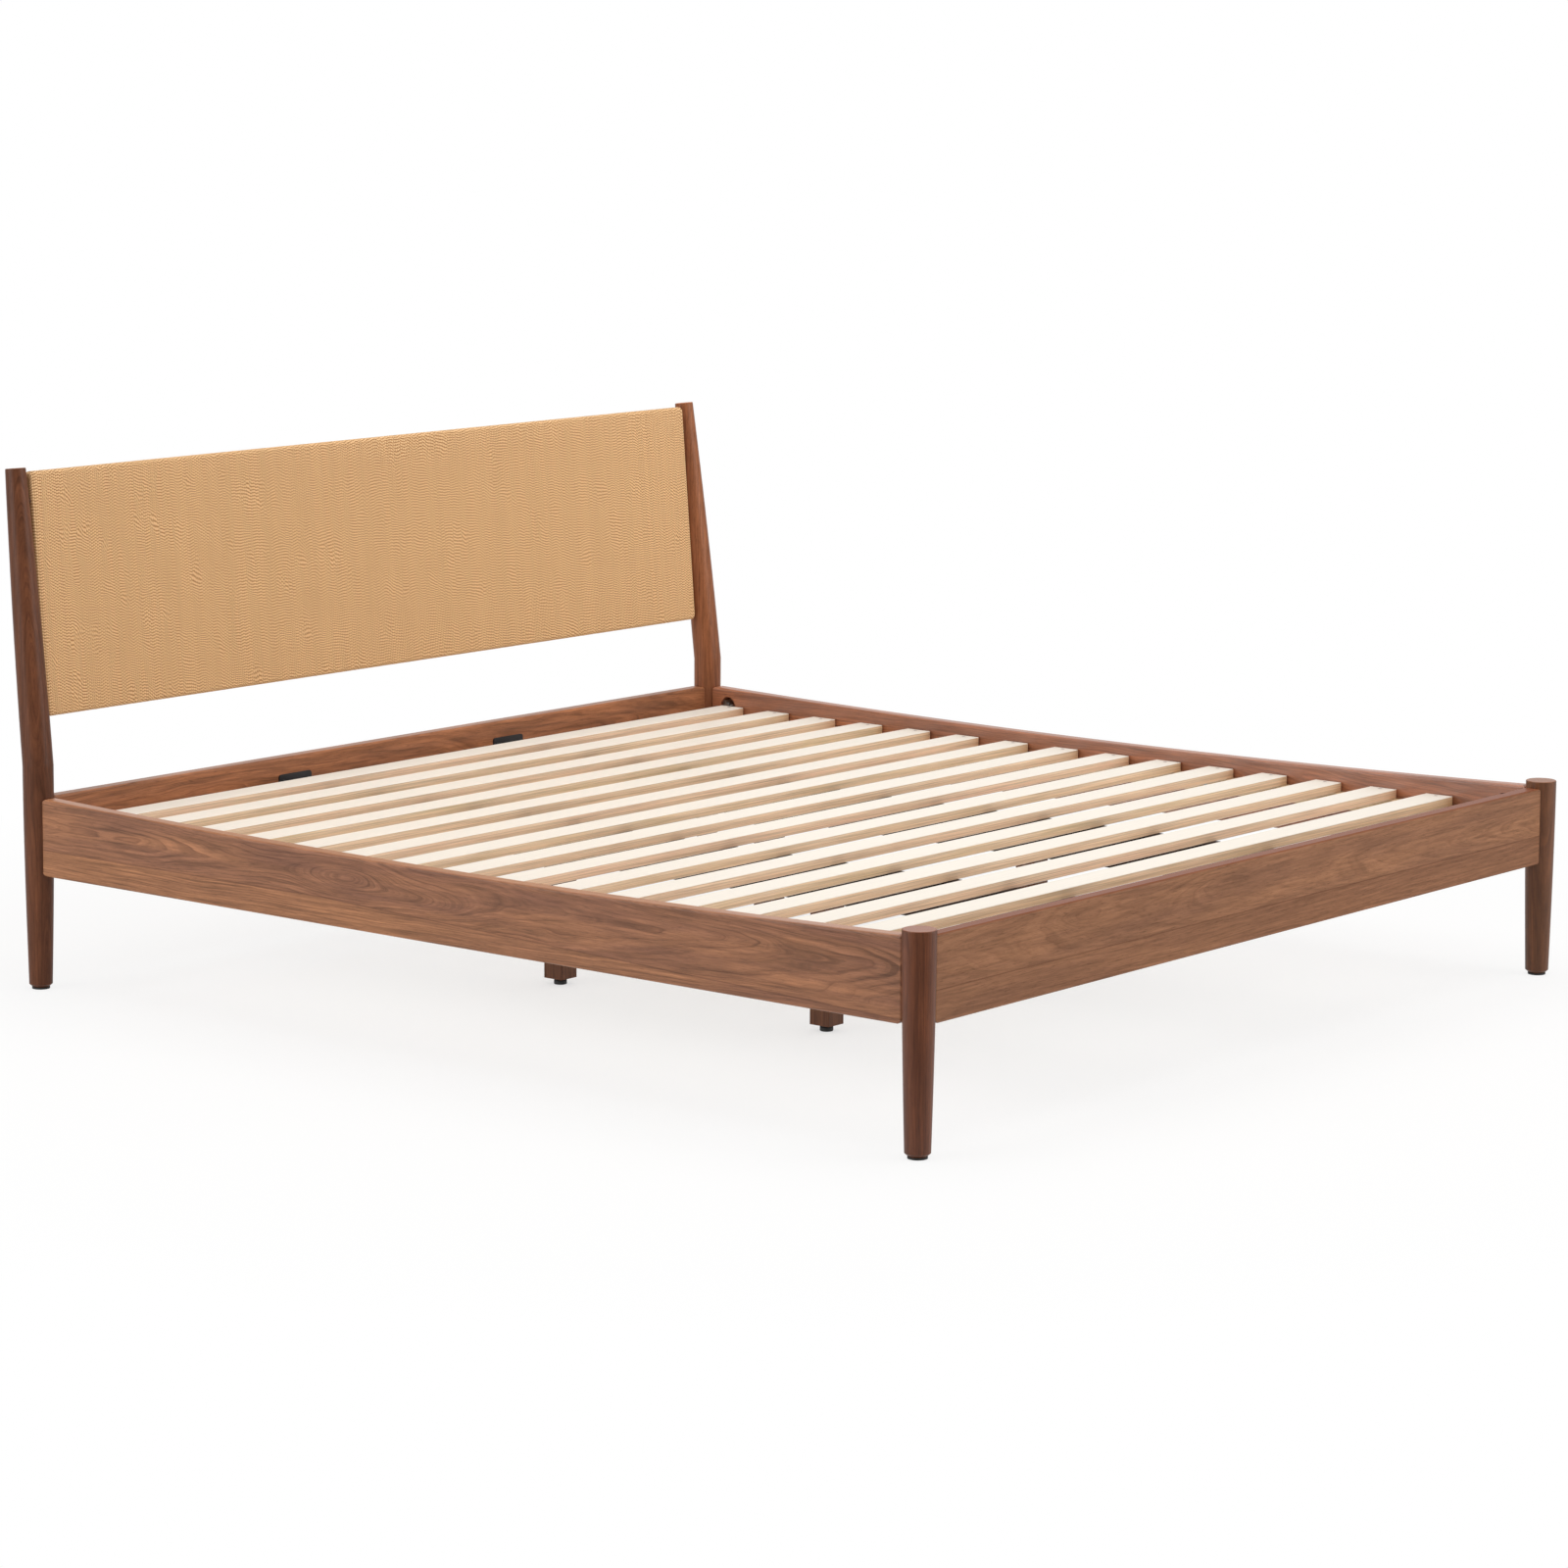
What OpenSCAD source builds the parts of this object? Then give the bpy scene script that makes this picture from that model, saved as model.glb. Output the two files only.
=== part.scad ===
// Bed frame with turned legs, plank rails, slats on two centre beams and a leaning headboard
// panel of woven cord over an inner frame.
// The origin is on the floor, in the middle of the outer box. +Z is up, +Y points to the head
// end, and +X to the right of someone who looks from the foot end to the headboard.

/* [Legs] */
// Distance between the leg axes across the bed
leg_span_x = 1972; // [1000:1:2200]
// Distance between the leg axes along the bed
leg_span_y = 2096; // [1900:1:2300]
// Radius of the legs where they meet the rails
leg_r = 29.2; // [26:0.1:36]
// How much smaller the radius is at the floor
leg_taper = 7.2; // [2:0.1:9]
// Height at which the legs reach their full radius
leg_full_z = 390; // [380:1:420]
// Width of the bevel round the bottom of the legs
leg_bevel = 6.5; // [2:0.1:8]
// Height of the bevel round the bottom of the legs
leg_bevel_h = 5.7; // [2:0.1:10]
// Height of the foot legs' tops above the rails
leg_rise = 12; // [3:0.5:20]
// Rounding of the top edges of the legs and posts
leg_top_r = 2; // [1:0.5:3]
// Diameter of the glides under the round legs
glide_d = 34; // [20:1:36]
// Thickness of the glides
glide_t = 3.5; // [2:0.5:8]

/* [Head posts] */
// Height of the knee where the head posts start to lean
knee_z = 427; // [421:1:450]
// Height of the head posts, measured on their axis
post_h = 987; // [900:1:1100]
// Angle by which the posts lean away from the vertical
post_lean = 6.39; // [3:0.01:9]
// Angle by which this lean is turned in from straight back
post_lean_turn = 8.8; // [4:0.1:9]
// How much smaller the posts' radius is at the top
post_taper = 9.6; // [5:0.1:12]
// How far the soft ball at the knee stands out from the posts
knee_swell = 0.1; // [0.1:0.05:0.5]

/* [Rails] */
// Height of the rails' undersides above the floor
rail_z = 220; // [190:1:230]
// Height of the rails
rail_h = 148; // [140:1:152]
// Thickness of the rails
rail_t = 30; // [27:0.5:36]
// Rounding along the rails' long edges
rail_edge_r = 5; // [2:0.5:6]
// Rounding of the rails' corners, seen from the side
rail_corner_r = 13; // [6:0.5:16]
// Rounding of the rails' ends, seen from above
rail_end_r = 4; // [2:0.5:8]
// Distance from a leg's axis to the end line of a rail
rail_end_gap = 24.5; // [18:0.5:25]
// How far the side rails' top edges dip at mid-length
rail_dip = 17; // [5:1:30]
// Gap between a rail's hollowed end and the round leg
cope_gap = 0.2; // [0.1:0.05:0.5]

/* [Joinery] */
// Heights of the two bolts at each end of a side rail, above the rail's underside
bolt_low = 32; // [30:1:34]
bolt_high = 109; // [106:1:111]
// Diameter of the bolts
bolt_d = 8; // [6:0.5:8]
// Diameter of the round pockets for the nuts
pocket_d = 40; // [36:1:42]
// Depth of these pockets
pocket_depth = 24; // [22:0.5:25]
// Distance from a leg's axis to the middle of a pocket
pocket_from_leg = 71; // [66:1:78]
// How far a bolt goes past the leg's axis
bolt_past_axis = 5; // [0:1:12]
// Thickness of the crescent washers at the middle
washer_t = 9; // [7:0.5:10]
// Width of these washers, across the rail
washer_w = 14; // [10:0.5:16]
// Height of these washers
washer_h = 22; // [18:0.5:26]
// Height of the nuts
nut_h = 6.5; // [5:0.5:8]
// Width of the nuts across the corners
nut_corners = 14.8; // [12:0.1:16]
// Diameter of the dowels
dowel_d = 12; // [8:0.5:12]
// Length of the dowels
dowel_l = 60; // [40:1:70]
// How far a dowel goes into a leg, measured from the leg's axis
dowel_from_axis = 4; // [0:1:12]
// Heights of the two dowels at each end of a head or foot rail, above the rail's underside
dowel_low = 16; // [15:1:17]
dowel_high = 129; // [127:1:130]
// Radial room round a fastener or dowel in its hole
hole_room = 0.1; // [0.05:0.05:0.3]

/* [Slats] */
// Width of a slat
slat_w = 60; // [50:1:70]
// Thickness of a slat
slat_t = 18.5; // [12:0.5:20]
// Height of the slats' upper faces
slat_top = 330; // [326:1:334]
// Gap between a slat's end and the side rail
slat_end_gap = 4; // [2:0.5:8]
// Gap between the first or last slat and the foot or head rail
slat_row_gap = 42.25; // [38:0.25:60]
// Rounding of the slats' edges
slat_edge_r = 1.5; // [1:0.5:4]
// Width of the battens under the slat ends
ledger_w = 28; // [24:1:40]
// Height of these battens
ledger_h = 30; // [24:1:34]
// Gap between a batten's end and the head or foot rail
ledger_end_gap = 33; // [20:1:36]
// Number of screws in each batten
ledger_screw_count = 7; // [3:1:9]
// Distance from a batten's end to its first screw
ledger_screw_in = 100; // [80:1:110]

/* [Centre beams] */
// Distance between the two beams' axes
beam_span = 631; // [500:1:700]
// Width of a beam
beam_w = 45; // [36:1:50]
// Height of a beam
beam_h = 70; // [50:1:72]
// Distance between the support legs along the bed
support_span = 650; // [550:1:900]
// Width of a square support leg
support_w = 45; // [36:1:50]
// Rounding of a support leg's upright edges
support_edge_r = 2; // [1:0.5:5]
// Height of the support legs' undersides above the floor
support_z = 12.7; // [11:0.1:20]
// Length of the bolts between beam and support leg
support_bolt_l = 80; // [60:1:100]

/* [Brackets] */
// Width of a steel bracket
bracket_w = 90; // [86:1:110]
// Height of a bracket
bracket_h = 104; // [100:1:110]
// How far a bracket's pocket stands out from the rail
bracket_reach = 36; // [25:1:38]
// Thickness of the steel
bracket_t = 3; // [2:0.5:4]
// Rounding of a bracket's corners
bracket_corner_r = 6; // [2:0.5:8]
// How far the upper edge of a bracket stands above the slats
bracket_rise = 4; // [1:0.5:8]
// Gap between the beam and the bracket round it
beam_gap = 0.3; // [0.2:0.1:1]
// Distance from a bracket's screws to its side edges
bracket_screw_in = 11; // [8:0.5:12]
// Distance from a bracket's screws to its upper and lower edges
bracket_screw_down = 14; // [10:0.5:20]

/* [Screws] */
// Diameter of the wood screws
screw_d = 4; // [3:0.5:5]
// Diameter of the screw heads
screw_head_d = 8; // [7:0.5:9]
// Height of the sunk screw heads
screw_head_h = 2.4; // [2:0.1:3]
// Length of the screws in the battens
ledger_screw_l = 50; // [40:1:52]
// Length of the screws in the slats
slat_screw_l = 40; // [30:1:42]
// Length of the screws in the brackets
bracket_screw_l = 25; // [20:1:28]

/* [Levelling feet] */
// Diameter of a levelling foot
foot_d = 25; // [20:0.5:30]
// Height of its pad
foot_pad_h = 8.4; // [6:0.1:9]
// Rounding of the pad's edges
foot_edge_r = 1.5; // [0.5:0.1:2]
// Diameter of its threaded stud
stud_d = 8; // [6:0.5:10]
// Height of the stud's upper end above the floor
stud_top = 48; // [40:1:60]
// Radial room between stud and threaded insert
stud_room = 0.05; // [0.02:0.01:0.08]
// Diameter of the insert's barrel
insert_d = 11; // [11:0.5:13]
// Length of the insert's barrel
insert_l = 14; // [10:0.5:20]
// Diameter of the insert's flange
insert_flange_d = 20; // [16:0.5:24]
// Thickness of the insert's flange
insert_flange_t = 1.4; // [1:0.1:2]
// Depth of the hole above the stud, so that the foot can be screwed in
stud_spare = 12; // [4:1:20]

/* [Headboard panel] */
// Height of the panel's lower edge above the floor, on its front face
panel_z = 517; // [500:1:560]
// Distance from the leg axes back to the panel's front face at its lower edge
panel_back = 5; // [0:0.5:10]
// Angle by which the panel leans back
panel_lean = 4.82; // [2:0.01:7]
// Height of the panel along its slope
panel_h = 464.6; // [380:0.1:470]
// Thickness of the panel
panel_t = 24; // [20:0.5:28]
// Gap between the panel and the posts' inner edges, at the knee
panel_gap = 3.3; // [2.6:0.1:6]
// Rounding of the panel's corners, seen from the front
panel_corner_r = 10; // [5:0.5:20]
// Rounding of the panel's edges
panel_edge_r = 7; // [4:0.5:9]
// Thickness of the woven cord
weave_t = 4; // [3:0.1:5]
// Width of the inner frame's rails and stiles
frame_w = 45; // [30:1:60]
// Distance from the panel's upper and lower edges to the dowels that hold it
panel_dowel_in = 55; // [40:1:80]
// Length of these dowels
panel_dowel_l = 50; // [30:1:60]
// How far such a dowel goes into the post
panel_dowel_deep = 24; // [16:1:26]

/* [Hidden] */

$fn = 64;
SLATS = 16;
LEFT = -1;
RIGHT = 1;
HEAD = 1;
FOOT = -1;
EPS = 0.01;

WALNUT = [0.50, 0.33, 0.25];
WALNUT_DARK = [0.36, 0.22, 0.16];
PALE_WOOD = [0.93, 0.86, 0.74];
CORD = [0.82, 0.66, 0.45];
STEEL_BLACK = [0.10, 0.10, 0.11];
STEEL = [0.62, 0.63, 0.65];

// Leg axes and rail faces
leg_x = leg_span_x / 2;
leg_y = leg_span_y / 2;
rail_top = rail_z + rail_h;
inner_x = leg_x - rail_t / 2;
inner_y = leg_y - rail_t / 2;
leg_top = rail_top + leg_rise;
side_rail_half = leg_y - rail_end_gap;

// The upper part of a head post: its length, and the turn from the upright to its axis
post_l = (post_h - knee_z) / cos(post_lean);
post_top_r = leg_r - post_taper;
post_back = sin(post_lean) * cos(post_lean_turn);

// The outer box runs from the foot legs' front to the posts' tops, and its middle is the origin
box_front = -leg_y - leg_r;
box_back = leg_y + (post_l - leg_top_r) * post_back
    + (post_top_r - leg_top_r) * sqrt(1 - post_back * post_back) + leg_top_r;
shift_y = -(box_front + box_back) / 2;

// Slats, battens and beams, from the top down
slat_under = slat_top - slat_t;
slat_l = 2 * (inner_x - slat_end_gap);
slat_pitch = (2 * (inner_y - slat_row_gap) - slat_w) / (SLATS - 1);
ledger_l = 2 * (inner_y - ledger_end_gap);
ledger_screw_pitch = (ledger_l - 2 * ledger_screw_in) / (ledger_screw_count - 1);
ledger_mid_z = slat_under - ledger_h / 2;
beam_x = beam_span / 2;
beam_under = slat_under - beam_h;
beam_l = 2 * (inner_y - bracket_t - beam_gap);
bracket_top = slat_top + bracket_rise;
bracket_under = bracket_top - bracket_h;
support_y = support_span / 2;

// Headboard panel: half its width, and the sizes of its inner frame
panel_half = leg_x - leg_r - panel_gap;
frame_half = panel_half - weave_t;
frame_t = panel_t - 2 * weave_t;
frame_h = panel_h - 2 * weave_t;
frame_corner_r = panel_corner_r - weave_t;
frame_edge_r = panel_edge_r - weave_t;

// Radius of a leg at height z
function leg_radius(z) =
    leg_r - leg_taper * pow(max(0, (leg_full_z - z) / leg_full_z), 1.5);
// Radius of the upper part of a head post at distance s from the knee
function post_radius(s) =
    leg_r - post_taper * pow(s / post_l, 1.8);
// Half outline of a turned leg from its axis up to just under height top, made larger by grow
function leg_points(top, grow = 0) =
    let (low = glide_t + leg_bevel_h, steps = 14)
    concat(
        [[0, glide_t], [leg_radius(glide_t) - leg_bevel, glide_t]],
        [for (i = [0 : steps])
            let (z = low + (leg_full_z - low) * i / steps) if (z < top)
                [leg_radius(z) + grow, z]]
    );
// Quarter round at the upper rim of a turning of radius r that ends at height top
function rim_points(r, top) =
    [for (a = [0 : 15 : 90])
        [r - leg_top_r + leg_top_r * cos(a), top - leg_top_r + leg_top_r * sin(a)]];

function slat_y(i) = (i - (SLATS + 1) / 2) * slat_pitch;

// ---- shared shapes ----

module rounded_rect(width, height, r) {
    square([width - 2 * r, height], center = true);
    square([width, height - 2 * r], center = true);
    for (x = [-1, 1], y = [-1, 1])
        translate([x * (width / 2 - r), y * (height / 2 - r)]) circle(r = r);
}

module foot_leg_turning() {
    rotate_extrude() polygon(concat(
        leg_points(leg_top - leg_top_r), rim_points(leg_radius(leg_top), leg_top), [[0, leg_top]]
    ));
}

// The lower part of a head post, up to height top, with room round it where grow is set
module post_foot(top, grow = 0) {
    rotate_extrude() polygon(concat(leg_points(top, grow), [[leg_r + grow, top], [0, top]]));
}

// The leaning part of a head post, from the knee to its top
module post_upper(side) {
    steps = 12;
    shoulder = post_l - leg_top_r;
    turned = [for (i = [0 : steps - 1]) let (s = shoulder * i / steps) [post_radius(s), s]];
    translate([0, 0, knee_z])
        rotate(a = post_lean, v = [-cos(post_lean_turn), -side * sin(post_lean_turn), 0])
            rotate_extrude() polygon(concat(
                [[0, 0]], turned, rim_points(post_top_r, post_l), [[0, post_l]]
            ));
}

// A wood screw along +Z with its head's face at z = 0 and its point below
module sunk_screw(length, room = 0) {
    rotate_extrude() polygon([
        [0, -length - room], [screw_d / 4 + room, -length - room],
        [screw_d / 2 + room, -length + screw_d], [screw_d / 2 + room, -screw_head_h],
        [screw_head_d / 2 + room, 0], [0, 0]
    ]);
}

// The same with a raised round head above z = 0
module raised_screw(length, room = 0) {
    rotate_extrude() polygon([
        [0, -length - room], [screw_d / 4 + room, -length - room],
        [screw_d / 2 + room, -length + screw_d], [screw_d / 2 + room, 0],
        [screw_head_d / 2, 0], [screw_head_d / 2, screw_head_h / 2],
        [screw_head_d / 4, screw_head_h], [0, screw_head_h]
    ]);
}

// ---- places ----

// Side rail bolts: along Y, at both ends and heights of one side
module at_rail_bolts(side) {
    for (end = [HEAD, FOOT], up = [bolt_low, bolt_high])
        translate([side * leg_x, end * leg_y, rail_z + up])
            rotate([end * 90, 0, 0]) children();
}

// Dowels of the head or foot rail: along X, into both legs
module at_rail_dowels(end) {
    for (side = [LEFT, RIGHT], up = [dowel_low, dowel_high])
        translate([side * (leg_x + dowel_from_axis), end * leg_y, rail_z + up])
            rotate([0, -side * 90, 0]) children();
}

// Screws through a batten into its side rail, heads inwards
module at_ledger_screws(side) {
    for (i = [0 : ledger_screw_count - 1])
        translate([side * (inner_x - ledger_w),
            (i - (ledger_screw_count - 1) / 2) * ledger_screw_pitch, ledger_mid_z])
            rotate([0, -side * 90, 0]) children();
}

// Screws through the slat ends into the battens, clear of the battens' own screws
module at_slat_screws(i) {
    for (side = [LEFT, RIGHT])
        translate([side * (inner_x - (ledger_w + slat_end_gap) / 2), slat_y(i), slat_top])
            children();
}

module at_bracket_screws(side, end) {
    reach = bracket_w / 2 - bracket_screw_in;
    for (x = [-reach, reach], z = [bracket_under + bracket_screw_down,
            bracket_top - bracket_screw_down])
        translate([side * beam_x + x, end * (inner_y - bracket_t), z])
            rotate([end * 90, 0, 0]) children();
}

module at_support(side, end) {
    translate([side * beam_x, end * support_y, 0]) children();
}

// The panel's own frame: x across, y into its thickness, z up its slope, from the lower front edge
module on_panel() {
    translate([0, leg_y + panel_back, panel_z]) rotate([-panel_lean, 0, 0]) children();
}

// Dowels between a post and the panel's stile, along X
module at_panel_dowels(side) {
    on_panel() for (up = [panel_dowel_in, panel_h - panel_dowel_in])
        translate([side * (panel_half + panel_gap + panel_dowel_deep), panel_t / 2, up])
            rotate([0, -side * 90, 0]) children();
}

module rod(d, length, room = 0) {
    cylinder(d = d + 2 * room, h = length + room);
}

// A rail bolt runs from past the leg's axis to the pocket
module rail_bolt(room = 0) {
    length = bolt_past_axis + pocket_from_leg + nut_h / 2;
    translate([0, 0, -bolt_past_axis - room]) cylinder(d = bolt_d + 2 * room, h = length + room);
}

// ---- sub-parts ----

module head_post(side) {
    color(WALNUT_DARK) difference() {
        translate([side * leg_x, leg_y, 0]) {
            post_foot(knee_z);
            translate([0, 0, knee_z]) sphere(r = leg_r + knee_swell);
            post_upper(side);
        }
        at_rail_bolts(side) rail_bolt(hole_room);
        at_rail_dowels(HEAD) rod(dowel_d, dowel_l, hole_room);
        at_panel_dowels(side) rod(dowel_d, panel_dowel_l, hole_room);
    }
}

module foot_leg(side) {
    color(WALNUT_DARK) difference() {
        translate([side * leg_x, -leg_y, 0]) foot_leg_turning();
        at_rail_bolts(side) rail_bolt(hole_room);
        at_rail_dowels(FOOT) rod(dowel_d, dowel_l, hole_room);
    }
}

// Ends of a rail of the given length along X: rounded from above and from the side
module rail_ends(length) {
    translate([0, 0, rail_z]) linear_extrude(rail_h) rounded_rect(length, rail_t, rail_end_r);
}

module rail_corners(length) {
    translate([0, rail_t, rail_z + rail_h / 2]) rotate([90, 0, 0])
        linear_extrude(2 * rail_t) rounded_rect(length, rail_h, rail_corner_r);
}

// Straight plank along X, with all four long edges rounded
module cross_rail(end) {
    length = leg_span_x - 2 * rail_end_gap;
    color(WALNUT) difference() {
        translate([0, end * leg_y, 0]) intersection() {
            translate([-length / 2, 0, rail_z + rail_h / 2]) rotate([90, 0, 90])
                linear_extrude(length) rounded_rect(rail_t, rail_h, rail_edge_r);
            rail_ends(length);
            rail_corners(length);
        }
        for (side = [LEFT, RIGHT]) translate([side * leg_x, end * leg_y, 0]) post_foot(knee_z, cope_gap);
        at_rail_dowels(end) rod(dowel_d, dowel_l, hole_room);
        for (side = [LEFT, RIGHT]) at_bracket_screws(side, end)
            raised_screw(bracket_screw_l, hole_room);
    }
}

// One cross-section of a side rail at distance y from mid-length, as a ring of points
function side_rail_ring(y) =
    let (top = rail_top - rail_dip * (1 - pow(y / side_rail_half, 2)),
        reach = rail_t / 2 - rail_edge_r)
    [for (corner = [0 : 3], a = [0 : 15 : 90])
        let (turn = corner * 90 - 90 + a)
            [(corner < 2 ? reach : -reach) + rail_edge_r * cos(turn), y,
            (corner == 1 || corner == 2 ? top - rail_edge_r : rail_z + rail_edge_r)
                + rail_edge_r * sin(turn)]];

// Plank along Y, lofted through such rings: its upper edge sags in a shallow curve
module dipped_plank() {
    steps = 24;
    rings = [for (i = [0 : steps]) side_rail_ring(side_rail_half * (2 * i / steps - 1))];
    n = len(rings[0]);
    skin = [for (i = [0 : steps - 1], j = [0 : n - 1])
        [i * n + j, i * n + (j + 1) % n, (i + 1) * n + (j + 1) % n, (i + 1) * n + j]];
    near_end = [for (j = [n - 1 : -1 : 0]) j];
    far_end = [for (j = [0 : n - 1]) steps * n + j];
    polyhedron([for (ring = rings) each ring], concat(skin, [near_end, far_end]));
}

module side_rail(side) {
    color(WALNUT) difference() {
        translate([side * leg_x, 0, 0]) intersection() {
            dipped_plank();
            rotate([0, 0, 90]) rail_ends(2 * side_rail_half);
            rotate([0, 0, 90]) rail_corners(2 * side_rail_half);
        }
        for (end = [HEAD, FOOT]) translate([side * leg_x, end * leg_y, 0]) post_foot(knee_z, cope_gap);
        at_rail_bolts(side) rail_bolt(hole_room);
        at_pockets(side) pocket_cut(side);
        at_ledger_screws(side) sunk_screw(ledger_screw_l, hole_room);
    }
}

// Middles of the round pockets, on the side rail's inner face
module at_pockets(side) {
    for (end = [HEAD, FOOT], up = [bolt_low, bolt_high])
        translate([side * inner_x, end * (leg_y - pocket_from_leg), rail_z + up]) children();
}

module pocket_cut(side) {
    rotate([0, side * 90, 0]) translate([0, 0, -EPS]) cylinder(d = pocket_d, h = pocket_depth + EPS);
}

// The woven cover: one closed skin over the inner frame, with holes for the dowels
module rope_weave() {
    color(CORD) difference() {
        on_panel() panel_block(panel_half, panel_h, panel_t, panel_corner_r, panel_edge_r, 0);
        on_panel() panel_block(frame_half, frame_h, frame_t, frame_corner_r, frame_edge_r, weave_t);
        for (side = [LEFT, RIGHT]) at_panel_dowels(side) rod(dowel_d, panel_dowel_l, hole_room);
    }
}

// A flat block with round corners and edges, set in by the given distance
module panel_block(half, height, thick, corner_r, edge_r, inset) {
    translate([0, thick / 2 + inset, height / 2 + inset]) intersection() {
        rotate([90, 0, 0]) linear_extrude(thick, center = true)
            rounded_rect(2 * half, height, corner_r);
        linear_extrude(height, center = true) rounded_rect(2 * half, thick, edge_r);
        rotate([90, 0, 90]) linear_extrude(2 * half, center = true)
            rounded_rect(thick, height, edge_r);
    }
}

module inner_frame_part(x0, x1, z0, z1) {
    color(PALE_WOOD) difference() {
        on_panel() intersection() {
            panel_block(frame_half, frame_h, frame_t, frame_corner_r, frame_edge_r, weave_t);
            translate([x0, 0, z0]) cube([x1 - x0, panel_t, z1 - z0]);
        }
        for (side = [LEFT, RIGHT]) at_panel_dowels(side) rod(dowel_d, panel_dowel_l, hole_room);
    }
}

module headboard_stile(side) {
    near = frame_half - frame_w;
    if (side == LEFT) inner_frame_part(-frame_half, -near, 0, panel_h);
    else inner_frame_part(near, frame_half, 0, panel_h);
}

module headboard_top_rail() {
    near = frame_half - frame_w;
    inner_frame_part(-near, near, weave_t + frame_h - frame_w, panel_h);
}

module headboard_bottom_rail() {
    near = frame_half - frame_w;
    inner_frame_part(-near, near, 0, weave_t + frame_w);
}

module slat(i) {
    color(PALE_WOOD) difference() {
        translate([-slat_l / 2, slat_y(i), slat_under + slat_t / 2]) rotate([90, 0, 90])
            linear_extrude(slat_l) rounded_rect(slat_w, slat_t, slat_edge_r);
        at_slat_screws(i) sunk_screw(slat_screw_l, hole_room);
    }
}

module ledger(side) {
    color(PALE_WOOD) difference() {
        translate([side * (inner_x - ledger_w / 2), 0, ledger_mid_z])
            cube([ledger_w, ledger_l, ledger_h], center = true);
        at_ledger_screws(side) sunk_screw(ledger_screw_l, hole_room);
        for (i = [1 : SLATS]) at_slat_screws(i) sunk_screw(slat_screw_l, hole_room);
    }
}

module centre_beam(side) {
    color(WALNUT_DARK) difference() {
        translate([side * beam_x, 0, beam_under + beam_h / 2])
            cube([beam_w, beam_l, beam_h], center = true);
        for (end = [HEAD, FOOT]) at_support(side, end) support_bolt(hole_room);
    }
}

// Steel hanger: a flat back with a pocket that the beam's end drops into
module beam_bracket(side, end) {
    inside = beam_w + 2 * beam_gap;
    outside = inside + 2 * bracket_t;
    cheek_h = (slat_under + bracket_under) / 2 - bracket_under;
    color(STEEL_BLACK) difference() {
        translate([side * beam_x, end * inner_y, 0]) {
            translate([0, 0, (bracket_top + bracket_under) / 2]) rotate([end * 90, 0, 0])
                linear_extrude(bracket_t) rounded_rect(bracket_w, bracket_h, bracket_corner_r);
            difference() {
                translate([outside / 2, 0, 0]) rotate([0, -90, 0]) linear_extrude(outside)
                    polygon([
                        [beam_under - bracket_t, 0], [beam_under - bracket_t, -end * bracket_reach],
                        [bracket_under + cheek_h, -end * bracket_reach],
                        [slat_under - bracket_t, -end * 2 * bracket_t],
                        [slat_under - bracket_t, 0]
                    ]);
                translate([-inside / 2, -end * (bracket_t + bracket_reach) - bracket_reach,
                        beam_under])
                    cube([inside, 2 * bracket_reach, beam_h]);
            }
        }
        at_bracket_screws(side, end) raised_screw(bracket_screw_l, hole_room);
    }
}

module support_leg(side, end) {
    color(WALNUT_DARK) difference() {
        at_support(side, end) translate([0, 0, support_z])
            linear_extrude(beam_under - support_z) rounded_rect(support_w, support_w, support_edge_r);
        at_support(side, end) support_bolt(hole_room);
        at_support(side, end) {
            cylinder(d = insert_d + 2 * hole_room, h = support_z + insert_l + hole_room);
            cylinder(d = stud_d + 4 * hole_room, h = stud_top + stud_spare);
        }
    }
}

module support_bolt(room = 0) {
    translate([0, 0, beam_under - support_bolt_l / 2 - room])
        cylinder(d = bolt_d + 2 * room, h = support_bolt_l + 2 * room);
}

// Threaded insert pressed into the leg's underside, flange below
module leg_insert() {
    difference() {
        union() {
            translate([0, 0, support_z]) cylinder(d = insert_d, h = insert_l);
            translate([0, 0, support_z - insert_flange_t])
                cylinder(d = insert_flange_d, h = insert_flange_t);
        }
        cylinder(d = stud_d + 2 * stud_room, h = support_z + 2 * insert_l);
    }
}

module levelling_foot(side, end) {
    core = foot_d / 2 - foot_edge_r;
    color(STEEL_BLACK) at_support(side, end) {
        rotate_extrude() {
            square([core, foot_pad_h]);
            translate([0, foot_edge_r]) square([foot_d / 2, foot_pad_h - 2 * foot_edge_r]);
            for (z = [foot_edge_r, foot_pad_h - foot_edge_r])
                translate([core, z]) circle(r = foot_edge_r);
        }
        translate([0, 0, foot_pad_h / 2]) cylinder(d = stud_d, h = stud_top - foot_pad_h / 2);
    }
}

module leg_glide(side, end) {
    color(STEEL_BLACK) translate([side * leg_x, end * leg_y, 0])
        cylinder(d = glide_d, h = glide_t);
}

module rail_bolts() {
    color(STEEL) for (side = [LEFT, RIGHT]) at_rail_bolts(side) rail_bolt();
}

// Crescent washers: round against the pocket's wall, flat under the nut
module rail_washers() {
    round_r = pocket_d / 2 - hole_room;
    color(STEEL) for (side = [LEFT, RIGHT]) difference() {
        for (end = [HEAD, FOOT], up = [bolt_low, bolt_high])
            translate([side * leg_x, end * (leg_y - pocket_from_leg), rail_z + up])
                intersection() {
                    rotate([0, 90, 0]) cylinder(r = round_r, h = washer_w, center = true);
                    translate([0, end * (round_r - washer_t / 2), 0])
                        cube([2 * washer_w, washer_t, washer_h], center = true);
                }
        at_rail_bolts(side) rail_bolt(hole_room);
    }
}

module rail_nuts() {
    seat = pocket_from_leg - (pocket_d / 2 - hole_room - washer_t);
    color(STEEL) for (side = [LEFT, RIGHT]) at_rail_bolts(side) difference() {
        translate([0, 0, seat]) cylinder(d = nut_corners, h = nut_h, $fn = 6);
        rail_bolt(hole_room);
    }
}

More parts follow.
